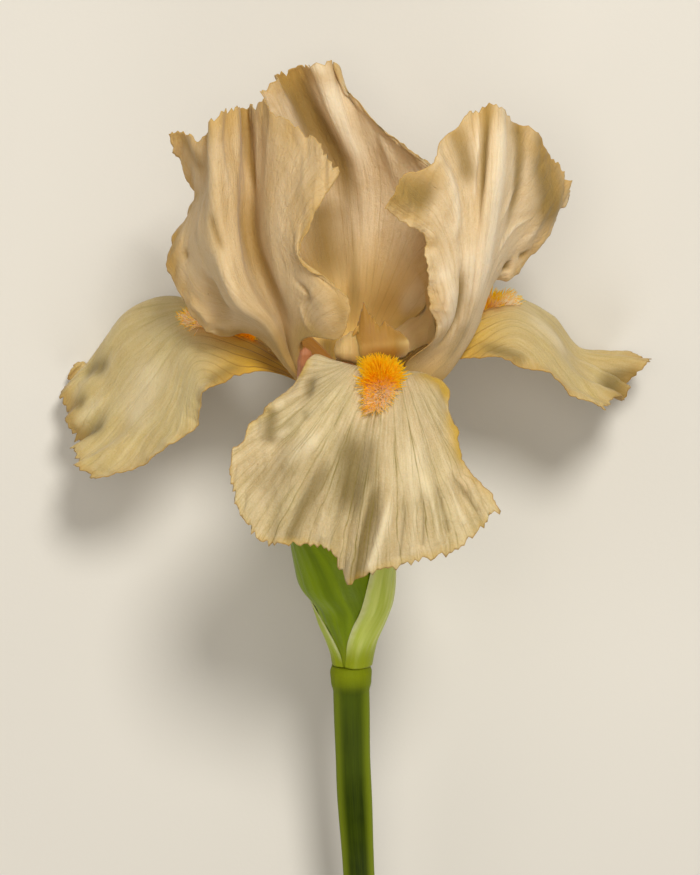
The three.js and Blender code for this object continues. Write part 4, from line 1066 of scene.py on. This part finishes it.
def mark_strength(grid, u, v, line, widths):
    """1 on a line through places of a petal, less to its sides and to its ends inside the petal."""
    points, _, _ = places_on(grid, u, v, *spline(line, np.linspace(0, 1, LINE_STEPS)).T)
    gap, place = np.full(u.shape, np.inf), np.zeros(u.shape)
    for k, (start, end) in enumerate(zip(points[:-1], points[1:])):
        way = end - start
        share = np.clip((grid - start) @ way / max(way @ way, 1e-9), 0, 1)
        here = np.linalg.norm(grid - start - share[..., None] * way, axis=-1)
        place = np.where(here < gap, (k + share) / (LINE_STEPS - 1), place)
        gap = np.minimum(gap, here)
    fade_in = 1 if line[0][0] >= AT_MARGIN else smooth(place, -0.1, 0.25)
    fade_out = 1 if line[-1][0] >= AT_MARGIN else smooth(place, 1.1, 0.6)
    return bell(gap, widths[0] + (widths[-1] - widths[0]) * place) * fade_in * fade_out


def marked(name, grid, u, v):
    """A petal's grid with its ridges and furrows, its painted shade and painted highlights, and how
    golden it is.
    """
    lift, tint, ridge, gold = (np.zeros_like(u) for _ in range(4))
    for (height, *widths, dark), line in marks(MARKS[name]):
        near = mark_strength(grid, u, v, line, widths)
        lift += height * near
        # Each mark's darkening is painted shade, and its brightening painted highlight.
        tint = np.maximum(tint, dark * near)
        ridge = np.maximum(ridge, -dark * near)
    for (amount, *widths), line in marks(GOLD[name]):
        gold = np.maximum(gold, amount * mark_strength(grid, u, v, line, widths))
    return lifted(grid, lift), tint, ridge, gold


def vein_places(name, grid, u, v, waver):
    """Where each point of a petal lies between its veins, counted across them, and how dark the
    veins are there."""
    kind = name.split("_")[0]
    places = (0.5 + (v - 0.5) / profile(VEIN_SPREAD[kind], u) + waver) * VEIN_COUNT[kind]
    strength = np.ones_like(u)
    if name == "fall_front":
        right, left = (
            np.degrees(np.arctan2(grid[..., 0] - across, up - grid[..., 1])) for across, up in FAN_PLACES
        )
        angle = right + (left - right) * smooth(right, *FAN_TURN)
        degrees, dark = np.array(FAN_VEINS).T
        fan = np.interp(angle, degrees, np.arange(len(degrees))) + 2 * waver
        strength = np.interp(fan, np.arange(len(degrees)), dark)
        places = places + (fan - places) * smooth(u, *FAN_START)
    return places, strength


def spacing(grid, places):
    """Millimetres on a sheet for each unit of a number that changes over it."""
    a, b = np.gradient(grid, axis=0), np.gradient(grid, axis=1)
    p, q = np.gradient(places)
    aa, ab, bb = (a * a).sum(-1), (a * b).sum(-1), (b * b).sum(-1)
    steepness = (p * p * bb - 2 * p * q * ab + q * q * aa) / np.maximum(aa * bb - ab * ab, 1e-9)
    return 1 / np.sqrt(np.maximum(steepness, 1e-4))


# A deeper bite than this folds the margin over.
DEEPEST_BITE = -1.7

# Where the end of a petal is calm, with small teeth: from here across, and all of it from there.
CALM_ENDS = {"standard_right": (0.46, 0.41)}

# Where the sides of a petal are crumpled, and where bitten: from here along, and in full from there.
ROUGH_SIDES = [(0.3, 0.5), (0.3, 0.45)]
FRONT_FALL_ROUGH_SIDES = [(0.6, 0.8), (0.5, 0.75)]


def petal_sheet(name, seed):
    """The fine grid of a petal and the values that its material reads."""
    petal = PETALS[name]
    crumpled, bitten = FRONT_FALL_ROUGH_SIDES if name == "fall_front" else ROUGH_SIDES
    grid, u, v = sheet(petal_veins(petal), PETAL_ROWS, PETAL_COLUMNS, ROW_POWER, COLUMN_BIAS)
    grid = moved_margins(name, lifted(grid, petal_relief(petal, u, v)), u, v)
    grid, tint, ridge, gold = marked(name, grid, u, v)
    length, width, end, sides = margin_gap(grid)
    middle = width - width[:, PETAL_COLUMNS // 2 : PETAL_COLUMNS // 2 + 1]

    # Veins gather to the beard or the claw.
    vein, strength = vein_places(name, grid, u, v, 0.025 * cloud(seed, middle / 14, length / 20))
    span = spacing(grid, vein)
    reach = u + 0.16 * cloud(seed + 1, middle / 6, length / 40)

    def waves(number, across, along):
        """Soft waves, with millimetres from one to the next across the petal and along it."""
        return cloud(seed + number, middle / across, length / along)

    # Between them the tissue is furrowed and crumpled, least on the midrib and not at all at the foot.
    loose = 0.35 + 0.65 * smooth(np.abs(2 * v - 1), 0.35, 0.95)
    pleats = smooth(span, 0.8, 4)
    lift = 0.75 * waves(2, 8, 12) * loose
    lift += 0.5 * (0.25 - np.abs(waves(3, 4.5, 7))) * loose
    lift += 0.22 * pleats * cloud(seed + 4, vein * 1.8, length / 16)
    lift += 0.1 * pleats * cloud(seed + 5, vein * 4, length / 9)
    lift += 0.05 * waves(6, 1.3, 1.8)
    lift += 0.3 * waves(16, 1.5, 30) * smooth(end, 16, 1) * PLEATED[name]
    lift *= smooth(u, 0.2, 0.5)

    # The end and the sides curl most.
    restless = 1 - 0.7 * smooth(v, *CALM_ENDS[name]) if name in CALM_ENDS else 1
    tip = smooth(end, 8, 0) * restless
    side = smooth(sides, 6, 0) * smooth(u, *crumpled)
    lift += tip * (1.2 * waves(7, 4.5, 14) + 0.5 * cloud(seed + 8, middle / 1.9))
    lift += side * (1.2 * cloud(seed + 9, length / 4.5, middle / 14) + 0.4 * cloud(seed + 10, length / 1.9))
    grid = lifted(grid, lift)

    # Small bites and teeth in the margins.
    out = unit(np.gradient(grid, axis=0))
    aside = unit(np.gradient(grid, axis=1)) * np.sign(v - 0.5)[..., None]
    rim_tip = smooth(end, 3.0, 0)
    rim_side = smooth(sides, 2.6, 0) * smooth(u, *bitten)
    bites = 1.4 * cloud(seed + 11, middle / 4) + 1.6 * cloud(seed + 12, middle / 1.2)
    bites += 3.2 * (0.15 - np.abs(cloud(seed + 15, middle / 1.8)))
    bites = np.maximum(bites, DEEPEST_BITE) * restless
    nicks = 0.9 * cloud(seed + 13, length / 4) + 0.6 * cloud(seed + 14, length / 1.3)
    grid = grid + out * (rim_tip * bites)[..., None] + aside * (rim_side * nicks)[..., None]

    away = 1 if name in SEEN_FROM_OUTSIDE else -1
    return grid, u, v, {
        "along": u,
        "vein": vein,
        "reach": reach,
        "span": span,
        "strength": strength,
        # Painted highlights on the marked ridges, where no painted shade lies.
        "ridge": np.clip(ridge * (1 - tint), 0, 1),
        "margin": np.minimum(end, sides),
        # Painted shade: the marks' own, and more where the crumpled tissue lifts away from the seen side.
        "hollow": np.clip(tint + 0.35 * smooth(away * lift, 0.1, 1.0), 0, 1),
        "gold": gold,
    }


def petal_thickness(u, v, margin):
    """Thick at the claw and along the midrib, thin at the margin."""
    rib = bell(v - 0.5, 0.05) * (1 - smooth(u, 0.2, 0.8))
    return 0.34 + 0.3 * rib + 0.25 * (1 - smooth(u, 0.05, 0.35)) - 0.12 * (1 - smooth(margin, 0, 3))


# Beards, of which only the near end of the side ones shows: where each starts and ends along its
# fall, its middle across it, and how far that slants to the end. Then how far the coloured bed
# reaches from that middle.
BEARDS = {
    "front": (0.36, 0.63, 0.585, 0.022),
    "left": (0.33, 0.56, 0.5, 0),
    "right": (0.33, 0.58, 0.5, 0),
}
BED_REACH = 3.2


def beard_middle(side, at_u):
    """Where the middle of a beard is across its fall."""
    start, end, centre, slant = BEARDS[side]
    return centre - slant * smooth(at_u, start, end)


def beard_bed(side, grid, u, v):
    """1 on the coloured bed that the hairs of a beard stand on."""
    start, end = BEARDS[side][:2]
    offset = np.abs(v - beard_middle(side, u)) * steps_along(grid, 1)[:, -1:]
    bed = smooth(offset, BED_REACH, BED_REACH * 0.5) * smooth(u, start - 0.04, start + 0.02)
    return bed * smooth(u, end + 0.02, end - 0.06)


sheets = {}
for number, name in enumerate(PETALS):
    kind, side = name.split("_")
    grid, u, v, values = petal_sheet(name, 100 + 20 * number)
    sheets[name] = (grid, u, v)
    values["bed"] = beard_bed(side, grid, u, v) if kind == "fall" else np.zeros_like(u)
    points, faces, values = blade(grid, petal_thickness(u, v, values["margin"]), values)
    values["bed"] = values["bed"] * (values["side"] > 0)
    material = petal_surface(name + "_tissue", LOOKS[name])
    make_piece(name + "_petal", points, faces, values, material, kind, name)


# Hairs of the beards: how many there are and how thick they are, and along the beard, how far from
# its middle they stand and how long they are.

HAIRS = {"front": 2300, "left": 800, "right": 800}
HAIR_SIDES = 4
HAIR_SWELL = np.array([1.0, 0.85, 0.8, 0.85, 0.9, 0.6])
HAIR_RINGS = len(HAIR_SWELL)
HAIR_RADIUS = 0.09
HAIR_RAISED = 0.05
HAIR_SPREAD = rows("0 1.4, 0.3 2.9, 0.6 2.9, 0.85 2.4, 1 1.2")
HAIR_REACH = rows("0 1.8, 0.35 3.8, 0.6 4.3, 0.85 3.2, 1 2.6")


def hairs(roots, directions, bends, lengths, radii, extra):
    """Tapered, slightly bent hairs: their points, faces and values."""
    count = len(roots)
    t = np.linspace(0, 1, HAIR_RINGS)
    straight = directions[:, None] * (lengths[:, None] * t)[..., None]
    bent = bends[:, None] * (lengths[:, None] * t**2)[..., None]
    centre = roots[:, None] + straight + bent
    side = unit(np.cross(directions, np.array([0.3, 0.9, 0.2])))
    other = unit(np.cross(directions, side))
    angle = np.arange(HAIR_SIDES) * 2 * math.pi / HAIR_SIDES
    ring = side[:, None] * np.cos(angle)[None, :, None] + other[:, None] * np.sin(angle)[None, :, None]
    rings = centre[:, :, None] + ring[:, None] * (radii[:, None] * HAIR_SWELL)[:, :, None, None]
    tips = centre[:, -1] + (centre[:, -1] - centre[:, -2]) * 0.3
    at = np.arange(count * HAIR_RINGS * HAIR_SIDES).reshape(count, HAIR_RINGS, HAIR_SIDES)
    walls, after = ring_walls(at)
    tip_at = np.repeat(at.size + np.arange(count), HAIR_SIDES).reshape(count, HAIR_SIDES)
    caps = np.stack([at[:, -1], after[:, -1], tip_at], -1).reshape(-1, 3)
    feet = at[:, 0, ::-1]
    along = np.broadcast_to(t[None, :, None], at.shape)
    values = {"tip": np.concatenate([along.ravel(), np.ones(count)])}
    for key, value in extra.items():
        spread = np.broadcast_to(value[:, None, None], at.shape)
        values[key] = np.concatenate([spread.ravel(), value])
    return np.concatenate([rings.reshape(-1, 3), tips]), [np.concatenate([walls, feet]), caps], values


def beard(side, seed):
    """The hairs of a beard, scattered on its bed, fanned to its sides and leaning to its far end."""
    rng = np.random.default_rng(seed)
    count = HAIRS[side]
    fall = sheets["fall_" + side]
    place = rng.uniform(0, 1, count) ** 1.25
    lean = rng.uniform(-1, 1, count)
    start, end = BEARDS[side][:2]
    at_u = start + (end - start) * place
    middle = beard_middle(side, at_u)
    step = 0.01
    beside = places_on(*fall, at_u, middle + step)[0] - places_on(*fall, at_u, middle)[0]
    span = np.linalg.norm(beside, axis=1) / step
    at_v = middle + lean * profile(HAIR_SPREAD, place) / span
    root, *ways = places_on(*fall, at_u, at_v)
    along, across = (unit(way) for way in ways)
    normal = unit(np.cross(along, across))
    fan = lean + rng.normal(0, 0.2, count)
    forward = -0.35 + 1.25 * smooth(place, 0.3, 1) + rng.normal(0, 0.2, count)
    raised = normal * np.cos(fan)[:, None] + across * np.sin(fan)[:, None]
    direction = unit(raised + along * forward[:, None])
    length = profile(HAIR_REACH, place) * (1 - 0.2 * lean**2) * rng.uniform(0.6, 1.25, count)
    bend = along * rng.normal(0.05, 0.14, count)[:, None] + across * rng.normal(0, 0.14, count)[:, None]
    radius = HAIR_RADIUS * rng.uniform(0.75, 1.25, count)
    extra = {"place": place, "lot": rng.uniform(0, 1, count)}
    return hairs(root + normal * HAIR_RAISED, direction, bend, length, radius, extra)


beard_material = beard_surface()
for number, side in enumerate(BEARDS):
    name = "beard_" + side
    make_piece(name + "_hairs", *beard(side, 40 + number), beard_material, "beard", name)


# The style.

ARM_ROWS = 72
ARM_COLUMNS = 56
LOBE_RINGS = 110
LOBE_SIDES = 72
COLUMN_RINGS = 30
ROUND_SIDES = 48

# The two lobes below the style's end: each one's middle line, how far it rises above and drops
# below that, and how deep it is.
LOBES = {
    "small": {
        "path": rows("-8.4 18.6 22.3, -5 20.2 22.3, -0.5 20.4 22.7"),
        "rise": rows("0 0.3, 0.08 2.2, 0.35 3.7, 0.6 4.6, 0.85 4.8, 1 1"),
        "drop": rows("0 0.3, 0.1 1.9, 0.4 2.7, 0.8 3.8, 1 1"),
        "depth": rows("0 0.3, 0.1 1.6, 0.4 2.4, 0.75 2, 1 1"),
    },
    "large": {
        "path": rows("-6 19.2 22.6, -1 21.4 23.2, 4.5 21.6 23.4, 10 18.6 22.8"),
        "rise": rows("""
            0 0.3, 0.1 2.5, 0.19 4.4, 0.24 6.5, 0.3 9.6, 0.335 10.8, 0.37 9.8, 0.42 8, 0.5 5.9,
            0.55 4.9, 0.62 5.9, 0.68 4.9, 0.82 3.6, 0.93 2.2, 1 0.3
        """),
        "drop": rows("0 0.3, 0.12 2.6, 0.35 4, 0.6 4.4, 0.9 3, 1 0.3"),
        "depth": rows("0 0.3, 0.12 1.2, 0.35 1.8, 0.65 2.1, 0.9 1.6, 1 0.3"),
    },
}

# The side arms have the large lobe alone, this much smaller.
SIDE_LOBES = 0.3

# Painted light on the arms, front, left and right: how much amber painted shade each has, which
# darkens the left arm where the key light strikes it, and how much pale painted light, which lifts the
# right arm where it lies in shade.
ARM_PAINTED_SHADE_AND_LIGHT = [(0, 0), (1, 0), (0, 1)]

# How far the front arm's crest stands back, and how far each crest's corners do.
FRONT_CREST_DROP = 4.5
CREST_CORNERS_DROP = 4.5

# What the style's material reads for bodies with no margin, and where they count as lying along it.
NO_MARGIN = 3
LOBE_ALONG = 0.8
COLUMN_ALONG = 0.2


def style_lobe(lobe, azimuth, seed, size):
    """A lobe with shallow upright ribs, pale at its outer end and amber, deepest underneath, where the
    amber is partly painted shade.
    """
    shape = LOBES[lobe]

    def radius(t, angle):
        rise = profile(shape["rise"], t)
        rise = rise + (0.9 * cloud(seed + 2, t * 16) + 2.0 * cloud(seed + 3, t * 44)) * smooth(rise, 4.2, 7)
        tall = size * np.where(np.sin(angle) > 0, profile(shape["drop"], t), rise)
        deep = size * profile(shape["depth"], t)
        ribs = 0.6 * cloud(seed, t * 6, 0.3) + 0.12 * cloud(seed + 1, t * 19, 0.3 * np.sin(angle))
        oval = 1 / np.sqrt((np.cos(angle) / deep) ** 2 + (np.sin(angle) / tall) ** 2)
        return oval + size * ribs * smooth(tall, 0.5, 2) * np.abs(np.cos(angle))

    places = (1 - np.cos(math.pi * np.linspace(0, 1, LOBE_RINGS))) / 2
    points, faces, values = limb(axis_points(shape["path"]), places, LOBE_SIDES, radius)
    t, down = values["along"], values["sine"]
    flat = np.ones_like(t)
    if lobe == "small":
        across = t
        pale = 0.8 * smooth(t, 0.9, 0.4)
        amber = 0.3 * smooth(down, 0.2, 0.9)
    else:
        across = 1 + 2 * t
        pale = 0.8 * smooth(t, 0.66, 0.95) * smooth(down, -0.9, -0.4)
        amber = np.maximum(smooth(down, -0.3, 0.8) * bell(t - 0.6, 0.33), 0.4 * smooth(down, -0.2, -0.9))
    values = {
        "along": LOBE_ALONG * flat, "across": across, "margin": NO_MARGIN * flat, "side": flat,
        "lobe": pale, "low": amber,
    }
    return turned(points, azimuth), faces, values


def style_arm(azimuth, seed, lobe_size, amber, pale):
    """An arm of the style with its crest."""
    grid, u, v = sheet([axis_points(vein) for vein in tables(ARM_VEINS)], ARM_ROWS, ARM_COLUMNS)
    length, _, end, sides = margin_gap(grid)
    margin = np.minimum(end, sides)
    crest = smooth(end, 7, 0)
    horns = smooth(v, 0.23, 0.29) * smooth(v, 0.88, 0.74)
    grid = lifted(grid, 0.5 * crest * cloud(seed, v * 6, u) + 0.25 * cloud(seed + 1, v * 12, u * 2))
    teeth = horns * (1.2 * cloud(seed + 2, v * 9) + 1.4 * cloud(seed + 3, v * 30))
    teeth = teeth - CREST_CORNERS_DROP * (1 - horns) - FRONT_CREST_DROP * (lobe_size == 1)
    grid = grid + unit(np.gradient(grid, axis=0)) * (crest * teeth)[..., None]
    fringe = 0.8 * cloud(seed + 4, length / 0.9) * smooth(np.abs(v - 0.28), 0.08, 0.02) * crest
    grid = grid + unit(np.gradient(grid, axis=1)) * fringe[..., None]
    thickness = 0.5 + 0.7 * bell(v - 0.5, 0.09) * (1 - smooth(u, 0.6, 0.95))
    thickness = thickness - 0.22 * (1 - smooth(margin, 0, 1.5))
    # The whole arm takes its amber painted shade and its pale painted light.
    values = {"along": u, "across": v, "margin": margin, "lobe": 0 * u + pale, "low": 0 * u + amber}
    return blade(turned(grid, azimuth), thickness, values)


def column_radius(t, angle):
    return profile(COLUMN_RADII, t) * (1 + 0.03 * np.cos(3 * angle))


def style_column():
    """The column that the arms stand on."""
    path = axis_points(rows("0 0 0.2, 0 0 4.75, 0 0 9.5"))
    points, faces, values = limb(path, np.linspace(0, 1, COLUMN_RINGS), ROUND_SIDES, column_radius)
    t = values["along"]
    flat = np.ones_like(t)
    values = {
        "along": COLUMN_ALONG * t, "across": 0.5 + 0.5 * values["sine"], "margin": NO_MARGIN * flat,
        "side": flat, "lobe": 0 * flat, "low": 0 * flat,
    }
    return points, faces, values


style_parts = [style_column()]
for number, (azimuth, tones) in enumerate(zip(FALL_AZIMUTHS, ARM_PAINTED_SHADE_AND_LIGHT)):
    seed = 300 + 10 * number
    lobe_size = SIDE_LOBES if number else 1
    style_parts.append(style_arm(azimuth, seed, lobe_size, *tones))
    for step, lobe in enumerate(LOBES):
        if lobe == "large" or lobe_size == 1:
            style_parts.append(style_lobe(lobe, azimuth, seed + 6 + step, lobe_size))
make_piece("style_arms", *joined(style_parts), style_surface(), "style", "style")


# The tube, the stamens, the bud and the stem.

TUBE_RINGS = 100
STAMEN_RINGS = 90
STAMEN_SIDES = 28
BUD_RINGS = 160


def tube_radius(t, angle):
    lobes = 1 + profile(TUBE_LOBES, t) * np.cos(3 * angle)
    return profile(TUBE_RADII, t) * lobes + 0.06 * np.cos(6 * angle) * smooth(t, 0.2, 0.35)


tube = limb(axis_points(TUBE_PATH), np.linspace(0, 1, TUBE_RINGS), ROUND_SIDES, tube_radius)
make_piece("ovary_and_tube", *tube, tube_surface(), "tube", "perianth_tube")


def stamen_radius(t, angle):
    """A slim filament, then an anther of two pairs of sacs."""
    anther = smooth(t, 0.55, 0.62)
    sacs = 1 + 0.16 * np.cos(2 * angle) * anther - 0.1 * np.cos(4 * angle) * anther
    return profile(STAMEN_RADII, t) * sacs


stamen_material = stamen_surface()
for side, azimuth in zip(FALL_SIDES, FALL_AZIMUTHS):
    path = turned(axis_points(STAMEN_PATH), azimuth)
    stamen = limb(path, np.linspace(0, 1, STAMEN_RINGS), STAMEN_SIDES, stamen_radius)
    make_piece("stamen_" + side + "_whole", *stamen, stamen_material, "stamen", "stamen_" + side)


def bud_radius(t, angle):
    """Three petals rolled round each other: each edge is a step that winds up the bud."""
    turn = (angle / (2 * math.pi) * 3 + 2.2 * t) % 1
    edge = 0.28 * (turn - 0.5) * smooth(turn, 0, 0.06) * smooth(t, 0.1, 0.3)
    return profile(BUD_RADII, t) + edge


bud = limb(axis_points(BUD_PATH), np.linspace(0, 1, BUD_RINGS) ** 0.8, ROUND_SIDES, bud_radius)
make_piece("bud_rolled", *bud, bud_surface(), "bud", "bud")

# The stem's rings, with their places close together on its swollen top.
STEM_SIDES = 72
SWOLLEN_TOP = 0.06
TOP_RINGS = 40
STEM_RINGS = 120

# The cut end: how far it stands out, its rings of points, how far out the first and the last ones
# lie, what the material reads in its middle, and a place just before it that gives its direction.
CUT_BEVEL = 0.12
END_RINGS = 10
END_RING_SHARES = (0.97, 0.1)
CUT_MIDDLE = 0.05
NEAR_END = 0.999


def stem_radius(t, angle):
    ridges = 0.04 * np.cos(5 * angle + 2 * t) + 0.02 * np.cos(11 * angle - 1.5 * t)
    return profile(STEM_RADII, t) + ridges * smooth(t, 0.03, 0.08) + 0.05 * ripples(7, 5, (t, 5))


def with_cut_end(points, faces, values):
    """The same body with rings of points on its last face, and how far out on the cut they are."""
    rim, centre = points[-2 - STEM_SIDES : -2], points[-1]
    out = unit(centre - spline(STEM_PATH, np.array([NEAR_END]))[0]) * CUT_BEVEL
    shares = np.linspace(*END_RING_SHARES, END_RINGS)
    rings = centre + out + (rim - centre)[None] * shares[:, None, None]
    points = points.copy()
    points[-1] = centre + out
    first = len(points)
    at = first + np.arange(END_RINGS * STEM_SIDES).reshape(END_RINGS, STEM_SIDES)
    at = np.concatenate([np.arange(first - 2 - STEM_SIDES, first - 2)[None], at])
    walls, after = ring_walls(at)
    cap = np.stack([np.full(STEM_SIDES, first - 1), at[-1], after[-1]], 1)
    cut = np.zeros(first)
    cut[-1] = CUT_MIDDLE
    ones = np.ones(END_RINGS * STEM_SIDES)
    values = {key: np.concatenate([value, ones]) for key, value in values.items()}
    values["cut"] = np.concatenate([cut, np.repeat(shares, STEM_SIDES)])
    faces = [faces[0], faces[1][:STEM_SIDES], walls, cap]
    return np.concatenate([points, rings.reshape(-1, 3)]), faces, values


top_places = np.linspace(0, SWOLLEN_TOP, TOP_RINGS)[:-1]
stem_places = np.concatenate([top_places, np.linspace(SWOLLEN_TOP, 1, STEM_RINGS)])
stem = with_cut_end(*limb(STEM_PATH, stem_places, STEM_SIDES, stem_radius))
make_piece("stem_scape", *stem, stem_surface(), "stem", "stem")


# The bracts.

BRACT_VEINS = 7
BRACT_ROWS = 90
BRACT_COLUMNS = 72

# The bracts whose front margin hugs the leaf under it, and where that margin is across them.
TUCKED = {"bract_left": 1, "bract_right": 0}
TUCK = 0.9
BRACT = {"ribs": 12.0, "foot": "8E9A06"}
BRACT_LOOKS = {
    "bract_inner": {
        **BRACT, "valley": "5A7400", "ridge": "88A200", "cloud": "6E8800", "foot": "7C8A06", "papery": 0.6,
    },
    "bract_left": {**BRACT, "valley": "A0B43C", "ridge": "CAD670", "cloud": "B6C458", "papery": 1.4},
    # bract_right is paler and brighter than bract_left: partly its own tone, and partly painted light where
    # the front fall's shadow lies on it.
    "bract_right": {
        **BRACT, "ribs": 9.0, "valley": "B6CA34", "ridge": "F2FA9A", "cloud": "D4E25C", "papery": 2.2,
    },
}


def bract(name, seed):
    """A bract's blade, finely ribbed, with waves in its thin margin."""
    height, shift, radius, start, end = np.array(rows(BRACTS[name])).T
    veins = []
    for share in np.linspace(0, 1, BRACT_VEINS):
        azimuth = np.radians(start + (end - start) * share)
        tuck = TUCK * (1 - abs(share - TUCKED[name])) ** 3 if name in TUCKED else 0
        reach = radius - tuck
        veins.append(on_axis(shift + reach * np.sin(azimuth), reach * np.cos(azimuth), height))
    grid, u, v = sheet(veins, BRACT_ROWS, BRACT_COLUMNS)
    _, _, end_gap, sides = margin_gap(grid)
    margin = np.minimum(sides, end_gap)
    lift = 0.07 * ripples(seed, 8, (v, 16), (u, 0.3)) * smooth(u, 0, 0.2)
    lift += 0.12 * ripples(seed + 1, 4, (u, 7)) * smooth(margin, 2, 0) * smooth(u, 0.4, 0.7)
    thickness = 0.7 - 0.5 * (1 - smooth(margin, 0, 2.5))
    return blade(lifted(grid, lift), thickness, {"along": u, "across": v, "margin": margin})


for number, name in enumerate(BRACTS):
    material = bract_surface(name + "_skin", BRACT_LOOKS[name])
    make_piece(name + "_leaf", *bract(name, 500 + 10 * number), material, "bract", name)


# The floor, the lights and the camera.

FLOOR_SIZE = 6.0
FLOOR_ROUGHNESS = 0.85
bpy.ops.mesh.primitive_plane_add(size=FLOOR_SIZE)
floor = bpy.context.object
floor.name = "floor"
s = Surface("floor_paint", FLOOR_ROUGHNESS, specular=0.2)
floor_tone = s.mix(s.noise(3), "D9D6D0", "D4D1CB")
floor.data.materials.append(s.finish(floor_tone, FLOOR_ROUGHNESS, s.noise(900), 0.05, 0.15))

BLOOM = (0, 0.09, 0.05)
CREAM_LIGHT = (1, 0.96, 0.9)


def softbox(name, place, size, power, tone):
    """A round light that faces the bloom."""
    light = bpy.data.lights.new(name, "AREA")
    light.shape = "DISK"
    light.size = size
    light.energy = power
    light.color = tone
    lamp = bpy.data.objects.new(name, light)
    lamp.location = place
    lamp.rotation_euler = (Vector(BLOOM) - Vector(place)).to_track_quat("-Z", "Y").to_euler()
    bpy.context.scene.collection.objects.link(lamp)


softbox("key", (0.2, 0.6, 0.95), 0.3, 8.6, (1, 0.97, 0.9))
softbox("front_fill", (-0.12, 0.16, 1.2), 0.5, 2.4, (1, 0.93, 0.8))
softbox("fill", (-0.7, 0.1, 0.7), 0.5, 1.1, CREAM_LIGHT)
softbox("low_fill", (0.15, -0.55, 0.6), 0.5, 1.5, CREAM_LIGHT)

world = bpy.data.worlds.new("studio")
bpy.context.scene.world = world
world.use_nodes = True
world.node_tree.nodes["Background"].inputs["Color"].default_value = (1, 0.93, 0.82, 1)
world.node_tree.nodes["Background"].inputs["Strength"].default_value = 0.22

camera = bpy.data.cameras.new("camera")
camera.sensor_width = SENSOR
camera.lens = FOCAL_PIXELS / IMAGE_HEIGHT * SENSOR
eye = bpy.data.objects.new("camera", camera)
bpy.context.scene.collection.objects.link(eye)
eye_place = Vector(to_row(np.array([*VIEW_CENTRE, VIEW_DISTANCE])))
eye.matrix_world = Matrix.Translation(eye_place) @ Matrix(REST_TURN.tolist()).to_4x4()
bpy.context.scene.camera = eye
bpy.context.scene.view_settings.view_transform = "Standard"

bpy.context.view_layer.update()
